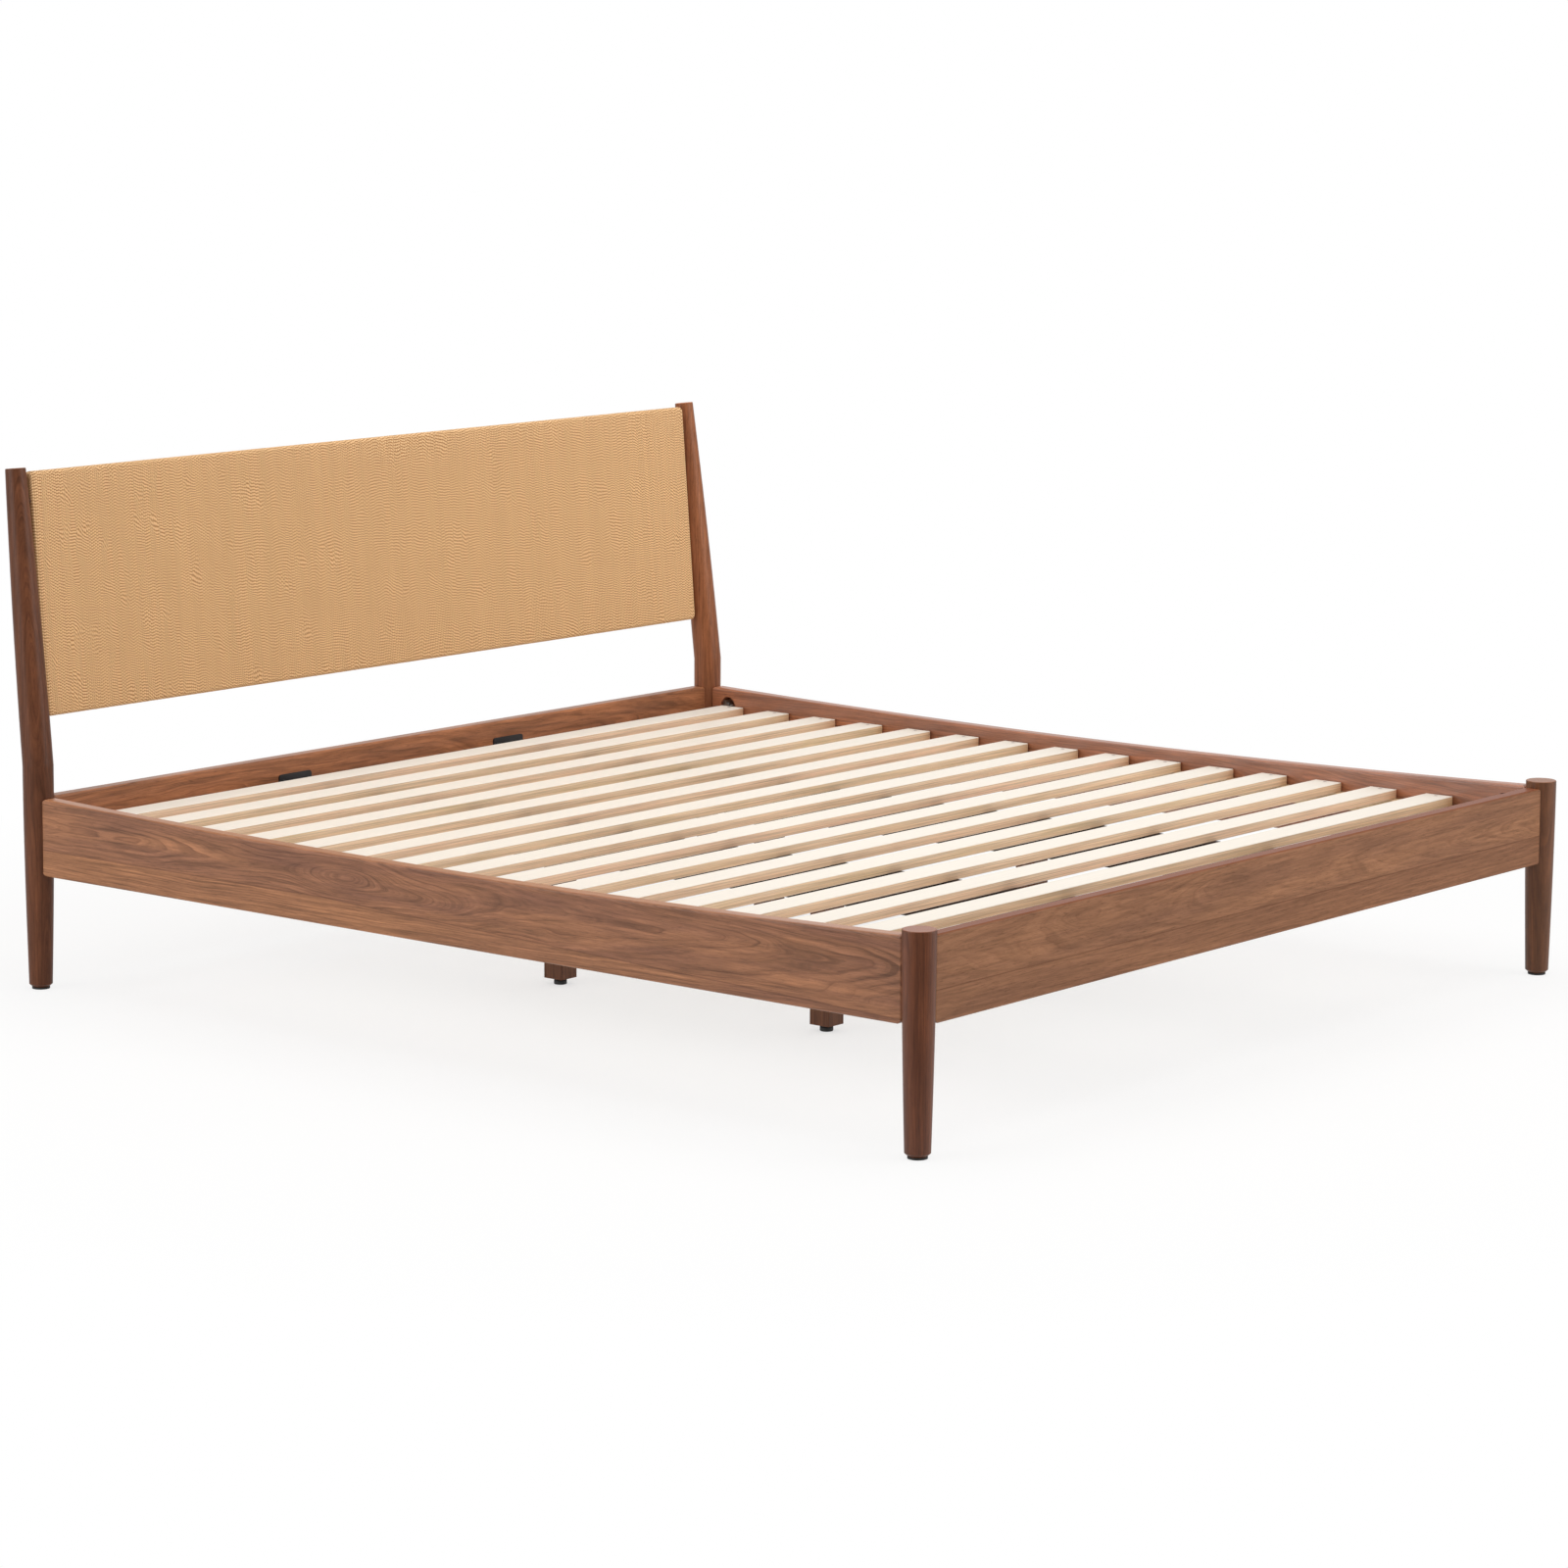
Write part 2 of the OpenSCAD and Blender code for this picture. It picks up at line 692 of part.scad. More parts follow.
module rail_dowels(end) {
    color(PALE_WOOD) at_rail_dowels(end) rod(dowel_d, dowel_l);
}

module panel_dowels() {
    color(PALE_WOOD) for (side = [LEFT, RIGHT]) at_panel_dowels(side) rod(dowel_d, panel_dowel_l);
}

module ledger_screws() {
    color(STEEL) for (side = [LEFT, RIGHT]) at_ledger_screws(side) sunk_screw(ledger_screw_l);
}

module slat_screws() {
    color(STEEL) for (i = [1 : SLATS]) at_slat_screws(i) sunk_screw(slat_screw_l);
}

module bracket_screws() {
    color(STEEL_BLACK) for (side = [LEFT, RIGHT], end = [HEAD, FOOT])
        at_bracket_screws(side, end) raised_screw(bracket_screw_l);
}

module support_leg_bolts() {
    color(STEEL) for (side = [LEFT, RIGHT], end = [HEAD, FOOT])
        at_support(side, end) support_bolt();
}

module leg_inserts() {
    color(STEEL_BLACK) for (side = [LEFT, RIGHT], end = [HEAD, FOOT])
        at_support(side, end) leg_insert();
}

// ---- nodes ----

// Moves a sub-part from between the legs to the middle of the outer box
module placed() {
    translate([0, shift_y, 0]) children();
}

placed() head_post(LEFT);  // head_post_left
placed() head_post(RIGHT);  // head_post_right
placed() foot_leg(LEFT);  // foot_leg_left
placed() foot_leg(RIGHT);  // foot_leg_right
placed() side_rail(LEFT);  // side_rail_left
placed() side_rail(RIGHT);  // side_rail_right
placed() cross_rail(HEAD);  // head_rail
placed() cross_rail(FOOT);  // foot_rail
placed() rope_weave();
placed() headboard_top_rail();
placed() headboard_bottom_rail();
placed() headboard_stile(LEFT);  // headboard_stile_left
placed() headboard_stile(RIGHT);  // headboard_stile_right
placed() slat(1);  // slat_01
placed() slat(2);  // slat_02
placed() slat(3);  // slat_03
placed() slat(4);  // slat_04
placed() slat(5);  // slat_05
placed() slat(6);  // slat_06
placed() slat(7);  // slat_07
placed() slat(8);  // slat_08
placed() slat(9);  // slat_09
placed() slat(10);  // slat_10
placed() slat(11);  // slat_11
placed() slat(12);  // slat_12
placed() slat(13);  // slat_13
placed() slat(14);  // slat_14
placed() slat(15);  // slat_15
placed() slat(16);  // slat_16
placed() ledger(LEFT);  // ledger_left
placed() ledger(RIGHT);  // ledger_right
placed() centre_beam(LEFT);  // centre_beam_left
placed() centre_beam(RIGHT);  // centre_beam_right
placed() beam_bracket(LEFT, FOOT);  // beam_bracket_1
placed() beam_bracket(RIGHT, FOOT);  // beam_bracket_2
placed() beam_bracket(LEFT, HEAD);  // beam_bracket_3
placed() beam_bracket(RIGHT, HEAD);  // beam_bracket_4
placed() support_leg(LEFT, FOOT);  // support_leg_1
placed() support_leg(RIGHT, FOOT);  // support_leg_2
placed() support_leg(LEFT, HEAD);  // support_leg_3
placed() support_leg(RIGHT, HEAD);  // support_leg_4
placed() levelling_foot(LEFT, FOOT);  // levelling_foot_1
placed() levelling_foot(RIGHT, FOOT);  // levelling_foot_2
placed() levelling_foot(LEFT, HEAD);  // levelling_foot_3
placed() levelling_foot(RIGHT, HEAD);  // levelling_foot_4
placed() leg_glide(LEFT, FOOT);  // leg_glide_1
placed() leg_glide(RIGHT, FOOT);  // leg_glide_2
placed() leg_glide(LEFT, HEAD);  // leg_glide_3
placed() leg_glide(RIGHT, HEAD);  // leg_glide_4
placed() rail_bolts();
placed() rail_washers();
placed() rail_nuts();
placed() rail_dowels(HEAD);  // head_rail_dowels
placed() rail_dowels(FOOT);  // foot_rail_dowels
placed() panel_dowels();
placed() ledger_screws();
placed() slat_screws();
placed() bracket_screws();
placed() support_leg_bolts();
placed() leg_inserts();
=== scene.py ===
# %% [markdown]
# # A platform bed with a corded headboard
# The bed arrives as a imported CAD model: turned legs and leaning posts, plank rails, laminated
# slats on two centre beams, and a plain block where the corded headboard cover belongs. This
# lesson gives every piece its real finish and makes the cover that the block stands for.

# %% Load the bed
import bmesh
import bpy
import math
from mathutils import Matrix, Vector


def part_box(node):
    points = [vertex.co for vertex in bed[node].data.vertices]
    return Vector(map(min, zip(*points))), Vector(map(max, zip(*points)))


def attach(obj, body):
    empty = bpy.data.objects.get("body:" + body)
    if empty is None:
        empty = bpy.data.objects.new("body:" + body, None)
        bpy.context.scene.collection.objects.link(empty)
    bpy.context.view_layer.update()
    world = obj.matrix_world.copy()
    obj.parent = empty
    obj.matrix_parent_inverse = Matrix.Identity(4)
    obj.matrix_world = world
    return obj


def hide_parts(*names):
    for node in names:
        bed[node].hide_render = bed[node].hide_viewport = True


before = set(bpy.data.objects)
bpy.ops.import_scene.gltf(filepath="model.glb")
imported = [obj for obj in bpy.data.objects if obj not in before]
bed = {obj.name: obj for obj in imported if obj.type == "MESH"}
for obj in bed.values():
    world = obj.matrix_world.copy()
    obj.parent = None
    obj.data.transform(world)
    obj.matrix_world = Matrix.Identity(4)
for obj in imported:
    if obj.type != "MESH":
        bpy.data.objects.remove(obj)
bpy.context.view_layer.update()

# %% [markdown]
# ## The camera
# The photograph was taken with a long lens from about nine metres, from the left of the foot
# end and a little above the bed. The place, turn and lens below were solved from the straight
# edges of the rails and the legs' marks on the floor. The photograph is a crop that keeps its
# uprights nearly parallel, which a small lens shift repeats; a tilt alone would lean the posts.

# %% Set up the camera
def add_to_scene(name, data):
    made = bpy.data.objects.new(name, data)
    bpy.context.collection.objects.link(made)
    return made


viewpoint = (-7.2028, -5.8166, 1.9014)
turn, tip, roll = (math.radians(degrees) for degrees in (50.5706, 7.0476, 0.2281))
lens = bpy.data.cameras.new("camera")
lens.lens, lens.sensor_width = 112.51, 36.0
lens.shift_x, lens.shift_y = 0.025, -0.125
lens.clip_end = 60
camera = add_to_scene("camera", lens)
camera.matrix_world = (
    Matrix.Translation(viewpoint) @ Matrix.Rotation(-turn, 4, "Z")
    @ Matrix.Rotation(math.pi / 2 - tip, 4, "X") @ Matrix.Rotation(roll, 4, "Z")
)
bpy.context.scene.camera = camera
print("camera at", [round(v, 2) for v in camera.location], "lens", lens.lens, "mm")

# %% [markdown]
# ## A small kit for finishes
# A finish is a graph of nodes. Built by hand in the editor it is dragged together; in a script
# a few helpers keep it readable. `node` adds one node and fills its inputs, either with a
# number or with another node's output. `sums` does arithmetic, `blend` mixes two colours, and
# `ramp` turns a value into steps of another. Every pattern below reads Object coordinates or
# the piece's own UV map, so it stays on its piece when the piece moves.

# %% Helpers for node graphs
def node(tree, kind, values=(), out=0, **settings):
    made = tree.nodes.new("ShaderNode" + kind)
    for name, value in settings.items():
        setattr(made, name, value)
    for key, value in dict(values).items():
        if isinstance(value, bpy.types.NodeSocket):
            tree.links.new(value, made.inputs[key])
        else:
            made.inputs[key].default_value = value
    return made.outputs[out]


def sums(tree, operation, a, b=0.0, c=0.0, clamp=False):
    return node(tree, "Math", {0: a, 1: b, 2: c}, operation=operation, use_clamp=clamp)


def blend(tree, share, first, second, how="MIX"):
    return node(tree, "Mix", {0: share, 6: first, 7: second}, out=2,
                data_type="RGBA", blend_type=how)


def ramp(tree, value, stops, how="LINEAR"):
    made = tree.nodes.new("ShaderNodeValToRGB")
    made.color_ramp.interpolation = how
    marks = made.color_ramp.elements
    while len(marks) < len(stops):
        marks.new(0.5)
    for mark, (place, level) in zip(marks, stops):
        mark.position = place
        mark.color = level if isinstance(level, tuple) else (level, level, level, 1)
    tree.links.new(value, made.inputs[0])
    return made.outputs[0]


print("node helpers ready")

# %% [markdown]
# Colours are written as they are seen, from 0 to 255, and turned into the linear light that
# shaders work in. `finish` makes a material and puts it on its pieces, and `join` links the
# finished colour, roughness and relief to the shader. The relief is a bump: it catches the
# light like real grain, but the outline of the piece stays as it was modelled.

# %% Helpers for materials
def colour(red, green, blue):
    def linear(v):
        v = v / 255
        return v / 12.92 if v <= 0.04045 else ((v + 0.055) / 1.055) ** 2.4
    return (linear(red), linear(green), linear(blue), 1.0)


def tinted(shade, share):
    """The same colour, a share darker or lighter, but never past white."""
    return colour(*[min(255, share * v) for v in shade])


def finish(name, pieces):
    """Put a new material on the pieces, and return its node tree and its shader."""
    made = bpy.data.materials.new(name)
    made.use_nodes = True
    for piece in pieces:
        for slot in piece.material_slots:
            slot.material = made
        if not piece.material_slots:
            piece.data.materials.append(made)
    return made.node_tree, made.node_tree.nodes["Principled BSDF"]


def join(tree, shader, base, rough, relief, strength=0.25, depth=0.0002):
    bump = node(tree, "Bump", {"Strength": strength, "Distance": depth, "Height": relief})
    for socket, value in (("Base Color", base), ("Roughness", rough), ("Normal", bump)):
        tree.links.new(value, shader.inputs[socket])


print("material helpers ready, middle grey is", round(colour(128, 128, 128)[0], 3))

# %% [markdown]
# ## How wood is drawn
# A plank shows a tree's yearly rings cut along their length. So the pattern is solid: rings are
# drawn round a far-off centre line, the pith, that runs nearly along the plank. Where a face
# cuts them at a low angle they open into the long arches of a flat-sawn board, and where it cuts
# them square they become straight lines. A photo texture would be quicker, but it would stretch
# over the rounded edges and show the same board on every rail. The steps are: turn the space so
# that x runs along the grain, bend it a little, measure the distance to the pith, and cut that
# distance into rings.

# %% Turn the space along the grain
GRAIN_TURN = {"X": (0, 0, 0), "Y": (0, 0, -math.pi / 2), "Z": (0, math.pi / 2, 0)}


def along_grain(tree, piece, direction):
    """Object coordinates from the middle of a piece, with x along its grain."""
    low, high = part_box(piece)
    middle = (Vector(low) + Vector(high)) / 2
    spot = node(tree, "TexCoord", out=3)
    centred = node(tree, "Mapping", {0: spot, 1: tuple(-middle)})
    return node(tree, "Mapping", {0: centred, 2: GRAIN_TURN[direction]})


def stretched(tree, space, sizes, detail=2.0, rough=0.5, out=0):
    """Soft noise whose spots are sizes (along, across, across) metres long."""
    scaled = node(tree, "Mapping", {0: space, 3: tuple(1 / s for s in sizes)})
    return node(tree, "TexNoise", {"Vector": scaled, "Scale": 1.0, "Detail": detail,
                                   "Roughness": rough}, out=out)


print("grain can run along", ", ".join(GRAIN_TURN))

# %% [markdown]
# Where a branch began, the rings bulge round it and a board shows an eye with the grain
# flowing past. It could be painted on, but then the rings beside it wouldn't give way. Here an
# eye is a smooth hill that is added to the ring count at one place, so all the rings near it
# bend together.

# %% An eye in a board
def eye_hill(tree, spot, place, size):
    """One at the middle of an eye, falling smoothly to nothing over its size."""
    near = node(tree, "VectorMath", {0: spot, 1: place}, operation="SUBTRACT")
    near = node(tree, "VectorMath", {0: near, 1: tuple(1 / s for s in size)},
                operation="MULTIPLY")
    near = node(tree, "VectorMath", {0: near, 1: near}, out=1, operation="DOT_PRODUCT")
    return sums(tree, "EXPONENT", sums(tree, "MULTIPLY", near, -1.0))


print("one size away from its middle an eye has", round(math.exp(-1), 2), "of its strength")

# %% [markdown]
# The pith's distance and tilt differ from piece to piece, as do boards from different trees.
# Ring widths vary too: a tree has good and poor years in spells, so a noise that only depends
# on the distance widens and narrows the rings.

# %% Cut the distance to the pith into rings
CURL_SIZE = (0.45, 0.08, 0.08)
RINGS_IN_A_SPELL = 9
SPELL_STRENGTH = 5.0


def rings(tree, space, pith, tilt, width, bend=0.012, eyes=()):
    """Distance to the pith in ring widths: whole numbers are the dark ends of the seasons."""
    curl = stretched(tree, space, CURL_SIZE, detail=3, out=1)
    curl = node(tree, "VectorMath", {0: curl, 1: (0.5, 0.5, 0.5)}, operation="SUBTRACT")
    curl = node(tree, "VectorMath", {0: curl, 1: (0, 2 * bend, 2 * bend)}, operation="MULTIPLY")
    bent = node(tree, "VectorMath", {0: space, 1: curl}, operation="ADD")
    tilted = node(tree, "Mapping", {0: bent, 1: (0, *pith), 2: (0, *tilt)})
    across = node(tree, "VectorMath", {0: tilted, 1: (0, 1, 1)}, operation="MULTIPLY")
    distance = node(tree, "VectorMath", {0: across}, out=1, operation="LENGTH")
    spell = node(tree, "TexNoise", {"W": distance, "Scale": 1 / (RINGS_IN_A_SPELL * width),
                                    "Detail": 1.0}, noise_dimensions="1D")
    count = sums(tree, "DIVIDE", distance, width)
    count = sums(tree, "MULTIPLY_ADD", spell, SPELL_STRENGTH, count)
    for place, size, strength in eyes:
        hill = eye_hill(tree, bent, place, size)
        count = sums(tree, "MULTIPLY_ADD", hill, strength, count)
    return count


def season_ends(tree, count, stops):
    """Where in its yearly ring a spot lies, turned into the dark at the season's end."""
    return ramp(tree, sums(tree, "FRACT", count), stops)


print("rings widen and narrow over spells of", RINGS_IN_A_SPELL)

# %% [markdown]
# ## Oiled walnut
# The rails are walnut planks with a thin satin oil. Each is glued up from two boards, so a
# plank's lower board has another stretch of grain and a slightly different tone, and a thin
# dark line runs where they meet. Here the space itself is cut at the seam: everything below
# it is moved far along the tree before the rings are drawn, so that no ring crosses the line.

# %% Two boards in one plank
SEAM_LINE = 0.0012
SEAM_BENDS_AT = 0.3
LOWER_BOARD_MOVE = (1.7, 0.055, -0.03)


def glued_boards(tree, space, along, seam):
    """The space cut at the seam, the share of the lower board, and the glue line."""
    seam_height, seam_slope = seam
    height = node(tree, "SeparateXYZ", {0: space}, out=2)
    past_bend = sums(tree, "MINIMUM", sums(tree, "ADD", along, -SEAM_BENDS_AT), 0.0)
    drop = sums(tree, "MULTIPLY", past_bend, seam_slope)
    above = sums(tree, "SUBTRACT", height, sums(tree, "ADD", drop, seam_height))
    below = sums(tree, "LESS_THAN", above, 0.0)
    line = sums(tree, "LESS_THAN", sums(tree, "ABSOLUTE", above), SEAM_LINE)
    moved = node(tree, "VectorMath", {0: below, 1: LOWER_BOARD_MOVE}, operation="MULTIPLY")
    return node(tree, "VectorMath", {0: space, 1: moved}, operation="ADD"), below, line


def lower_board_tone(tree, base, along, below, lower):
    """The lower board's own colour, which fades out towards one end of the plank."""
    share = sums(tree, "MULTIPLY_ADD", along, 0.9, 0.85, clamp=True)
    share = sums(tree, "MULTIPLY", sums(tree, "MULTIPLY", below, 0.6), share)
    return blend(tree, share, base, colour(*lower))


print("a seam line is", round(2000 * SEAM_LINE, 1), "mm wide")

# %% [markdown]
# The colour is built in layers: a slow drift between a cool and a warm brown, streaks between
# the rings, rings that end in a thin dark line, fibres, and pores, which are short dark dashes.
# The streaks are a noise laid over (distance along the plank, ring count), so they flow round
# every arch together with the rings.

# %% Layers of walnut
def board_tone(tree, space, cool, warm):
    drift = stretched(tree, space, (0.30, 0.035, 0.035), detail=3)
    drift = ramp(tree, drift, [(0.34, 0.0), (0.66, 1.0)])
    return blend(tree, drift, colour(*cool), colour(*warm))


def streaks_between_rings(tree, along, count, contrast):
    flow = node(tree, "CombineXYZ", {0: sums(tree, "DIVIDE", along, 0.24),
                                     1: sums(tree, "MULTIPLY", count, 1.7)})
    figure = node(tree, "TexNoise", {"Vector": flow, "Scale": 1.0, "Detail": 4.0,
                                     "Roughness": 0.62}, noise_dimensions="2D")
    return ramp(tree, figure, [(0.28, 1 - 0.42 * contrast), (0.50, 0.98),
                               (0.72, 1 + 0.20 * contrast)])


def dark_season_lines(tree, space, count, contrast):
    season = season_ends(tree, count, [(0.0, 0.05), (0.55, 0.12), (0.84, 0.45), (0.95, 1.0),
                                       (1.0, 0.05)])
    patches = stretched(tree, space, (0.25, 0.04, 0.04))
    strong = ramp(tree, patches, [(0.34, 0.08 * contrast), (0.66, 0.58 * contrast)])
    return sums(tree, "MULTIPLY", season, strong)


def paint_top_shading(tree, base, share, edge):
    """Another tone where the surface faces up: painted light, or painted shade if the tone is
    darker.
    """
    upward = node(tree, "SeparateXYZ", {0: node(tree, "TexCoord", out=1)}, out=2)
    return blend(tree, ramp(tree, upward, [(0.40, 0.0), (0.95, share)]), base, edge)


print("walnut has five layers: drift, streaks, season lines, fibres and pores")

# %% [markdown]
# Upward faces, the top edges of the rails and the ends of the legs, get a painted tone. Mostly it
# is a painted highlight, lighter where they face the light from above and catch the sheen; on the
# foot rail it is a painted shade, red and dark, that damps its sheen. One setting says how far
# that goes, and another gives the tone. The oil's gloss differs from piece to piece as well:
# `satin` is the roughness and `shine` the strength of the reflection. One function with these
# settings serves every walnut piece, so that all of them are plainly of one wood while no two show
# the same board.

# %% Walnut finish
FIBRE, FIBRE_SHARE, FIBRE_RELIEF = (0.09, 0.0042, 0.0042), 0.6, 0.35
PORE, PORE_SHARE, PORE_DARKER = (0.018, 0.0009, 0.0009), 0.35, 0.7
LINE_SHARE, PAINTED_HIGHLIGHT_LIGHTER, GLOSS_SPREAD = 0.4, 1.28, 0.10


def walnut(name, piece, direction, pith, tilt, ring=0.0045, bend=0.016, eyes=(), seam=None,
           warm=(172, 121, 88), cool=(146, 102, 79), dark=(84, 50, 36), lower=(182, 128, 90),
           contrast=1.0, satin=0.34, shine=0.22, painted_top_shading=0.0, edge=None):
    tree, shader = finish(name, [bed[piece]])
    space = along_grain(tree, piece, direction)
    along = node(tree, "SeparateXYZ", {0: space}, out=0)
    if seam:
        space, below, line = glued_boards(tree, space, along, seam)
    toned = board_tone(tree, space, cool, warm)
    if seam:
        toned = lower_board_tone(tree, toned, along, below, lower)
    count = rings(tree, space, pith, tilt, ring, bend, eyes)
    streaks = streaks_between_rings(tree, along, count, contrast)
    toned = blend(tree, 1.0, toned, streaks, "MULTIPLY")
    toned = blend(tree, dark_season_lines(tree, space, count, contrast), toned, colour(*dark))
    fibre = stretched(tree, space, FIBRE, detail=5, rough=0.70)
    fibre_tone = ramp(tree, fibre, [(0.30, 0.50), (0.70, 1.28)])
    toned = blend(tree, FIBRE_SHARE, toned, fibre_tone, "MULTIPLY")
    pores = ramp(tree, stretched(tree, space, PORE, detail=1), [(0.60, 0.0), (0.70, 1.0)])
    pore_share = sums(tree, "MULTIPLY", pores, PORE_SHARE)
    toned = blend(tree, pore_share, toned, tinted(dark, PORE_DARKER))
    if seam:
        toned = blend(tree, sums(tree, "MULTIPLY", line, LINE_SHARE), toned, colour(*dark))
    # A painted highlight on faces that look up, or a painted shade where a darker tone is given.
    if painted_top_shading:
        top_shading_tone = colour(*edge) if edge else tinted(warm, PAINTED_HIGHLIGHT_LIGHTER)
        toned = paint_top_shading(tree, toned, painted_top_shading, top_shading_tone)
    gloss = sums(tree, "MULTIPLY_ADD", fibre, GLOSS_SPREAD, satin - GLOSS_SPREAD / 2)
    raised = sums(tree, "MULTIPLY", fibre, FIBRE_RELIEF)
    relief = sums(tree, "MULTIPLY_ADD", pores, -1.0, raised)
    join(tree, shader, toned, gloss, relief)
    shader.inputs["Specular IOR Level"].default_value = shine


print("a pore is", round(1000 * PORE[0]), "mm long and", round(1000 * PORE[1], 1), "mm wide")

# %% [markdown]
# The seam starts a little under the middle at the head end, runs level past half the rail's
# length, and then sinks towards the lower edge at the foot end. The near side rail has the
# liveliest board, with two eyes and a row of pointed arches. An eye is given by its place from
# the middle of the plank, its size, and how many rings it adds.

# %% Finish the side rails
# The side rails' top edges get a painted highlight: lighter where they face the light and catch
# the sheen.
walnut("walnut_side_left", "side_rail_left", "Y", (0.045, -0.016), (0.010, -0.040),
       seam=(-0.023, 0.032), warm=(166, 114, 81), cool=(137, 93, 71), lower=(171, 118, 80),
       shine=0.3, painted_top_shading=0.32, eyes=[
           ((0.225, 0.015, 0.018), (0.100, 0.06, 0.032), -9.0),
           ((0.060, 0.015, 0.000), (0.120, 0.06, 0.020), -4.0),
           ((-0.560, 0.015, 0.030), (0.160, 0.06, 0.020), -2.0)])
walnut("walnut_side_right", "side_rail_right", "Y", (-0.050, -0.010), (-0.012, 0.030),
       seam=(-0.020, 0.02), warm=(179, 113, 77), cool=(151, 95, 68), shine=0.9, painted_top_shading=0.10, eyes=[
           ((0.450, -0.015, 0.012), (0.120, 0.06, 0.026), -4.0),
           ((-0.300, -0.015, 0.018), (0.140, 0.06, 0.024), -4.0)])
print("side rails finished")

# %% [markdown]
# The foot rail is calmer: thin dark arches stand along its upper edge. That edge is painted red
# and dark, a painted shade that damps the sheen on its top. Of the head rail only the inner face
# shows, behind the slats, and it keeps the plain figure.

# %% Finish the foot and head rails
# The foot rail's top is painted darker, a painted shade against its sheen.
walnut("walnut_foot", "foot_rail", "X", (-0.060, -0.020), (-0.014, 0.036), ring=0.0042,
       bend=0.012, seam=(-0.018, 0.0), warm=(161, 115, 85), cool=(142, 101, 77),
       lower=(142, 99, 73), contrast=0.48, shine=0.05, painted_top_shading=0.9, edge=(126, 68, 40), eyes=[
           ((-0.836, -0.015, 0.046), (0.060, 0.06, 0.016), -1.6),
           ((-0.552, -0.015, 0.052), (0.080, 0.06, 0.022), -2.4),
           ((-0.139, -0.015, 0.038), (0.080, 0.06, 0.020), -2.0),
           ((0.420, -0.015, 0.030), (0.160, 0.06, 0.014), -1.6)])
walnut("walnut_head", "head_rail", "X", (-0.050, -0.012), (0.014, -0.030), seam=(-0.016, 0.0),
       warm=(176, 114, 76), cool=(150, 98, 68), lower=(168, 108, 73))
print("foot and head rails finished")

# %% [markdown]
# ## Turned legs and posts
# Legs and posts are turned from solid walnut squares. They are darker than the planks, because
# heartwood was chosen and the round shape soaks up more oil; one post is lighter. The four could
# share one material, but then all of them would show the same flames. So each has its own pith,
# close beside the axis, its own two browns, and its own shine: where the oil stands glossier, the
# sides of the round catch the room while its middle stays deep. Their ends get a painted
# highlight, lighter where they face up and catch the sheen.

# %% Finish the legs and posts
TURNED = {
    "foot_leg_left": ((0.021, 0.034), (122, 68, 39), (98, 53, 31), 0.45),
    "foot_leg_right": ((-0.030, 0.026), (120, 74, 44), (98, 60, 35), 0.4),
    "head_post_left": ((0.036, -0.012), (118, 71, 46), (91, 54, 36), 0.2),
    "head_post_right": ((-0.022, -0.033), (166, 104, 68), (134, 80, 50), 0.2),
}
# The ends of the legs and posts get a painted highlight, lighter where they face up and catch the
# sheen.
for name, (pith, warm, cool, shine) in TURNED.items():
    walnut("walnut_" + name, name, "Z", pith, (0.018, -0.020), ring=0.0036, bend=0.010,
           warm=warm, cool=cool, dark=(58, 32, 20), contrast=0.8, satin=0.36, shine=shine,
           painted_top_shading=0.7)
print("turned pieces finished:", len(TURNED))

# %% [markdown]
# The square support legs and the centre beams are of the same wood. Under the slats the beams
# stand in deep shade, so their colour is painted nearly black, a painted shade, and they have
# little gloss. The dowels that hold the headboard cross the narrow gap beside each post, where a
# pale one would show as a white spot, so they are painted dark, a painted shade for that gap.

# %% Finish the support legs, beams and panel dowels
for number in range(1, 5):
    walnut(f"walnut_support_{number}", f"support_leg_{number}", "Z",
           (0.03 + 0.006 * number, -0.04), (0.02, 0.01), ring=0.004,
           warm=(124, 82, 58), cool=(104, 67, 48), dark=(60, 37, 27))
# The beams' near-black colour is painted shade from the slats above them.
for side in ("left", "right"):
    walnut("walnut_beam_painted_shade_" + side, "centre_beam_" + side, "Y", (0.03, -0.05), (0.012, 0.01),
           warm=(60, 39, 30), cool=(48, 31, 24), dark=(32, 20, 15), satin=0.6, shine=0.1)
# The dowels' dark colour is painted shade for the gap beside each post.
walnut("panel_dowels_painted_shade", "panel_dowels", "X", (0.03, -0.04), (0.01, 0.01),
       warm=(84, 54, 40), cool=(66, 43, 32), dark=(40, 25, 18))
print("four support legs, two beams and the panel dowels finished")

# %% [markdown]
# ## Laminated slats
# The slats are laminated from thin veneers. Their faces are one pale sheet, while their edges
# show the stack: tan layers with thin dark glue lines. The pattern is solid again. The distance
# from the slat's middle picks the layer, so the pale sheet ends by itself where the edge is
# eased. Two materials, one for the faces and one for the edges, would need every triangle
# sorted; this way one material does both.

# %% Edges and faces of a slat
VENEER, GLUE_SHARE = 0.00175, 0.30
FACE_SEASON_SHARE = 0.22
EVEN_SPREAD = 0.618


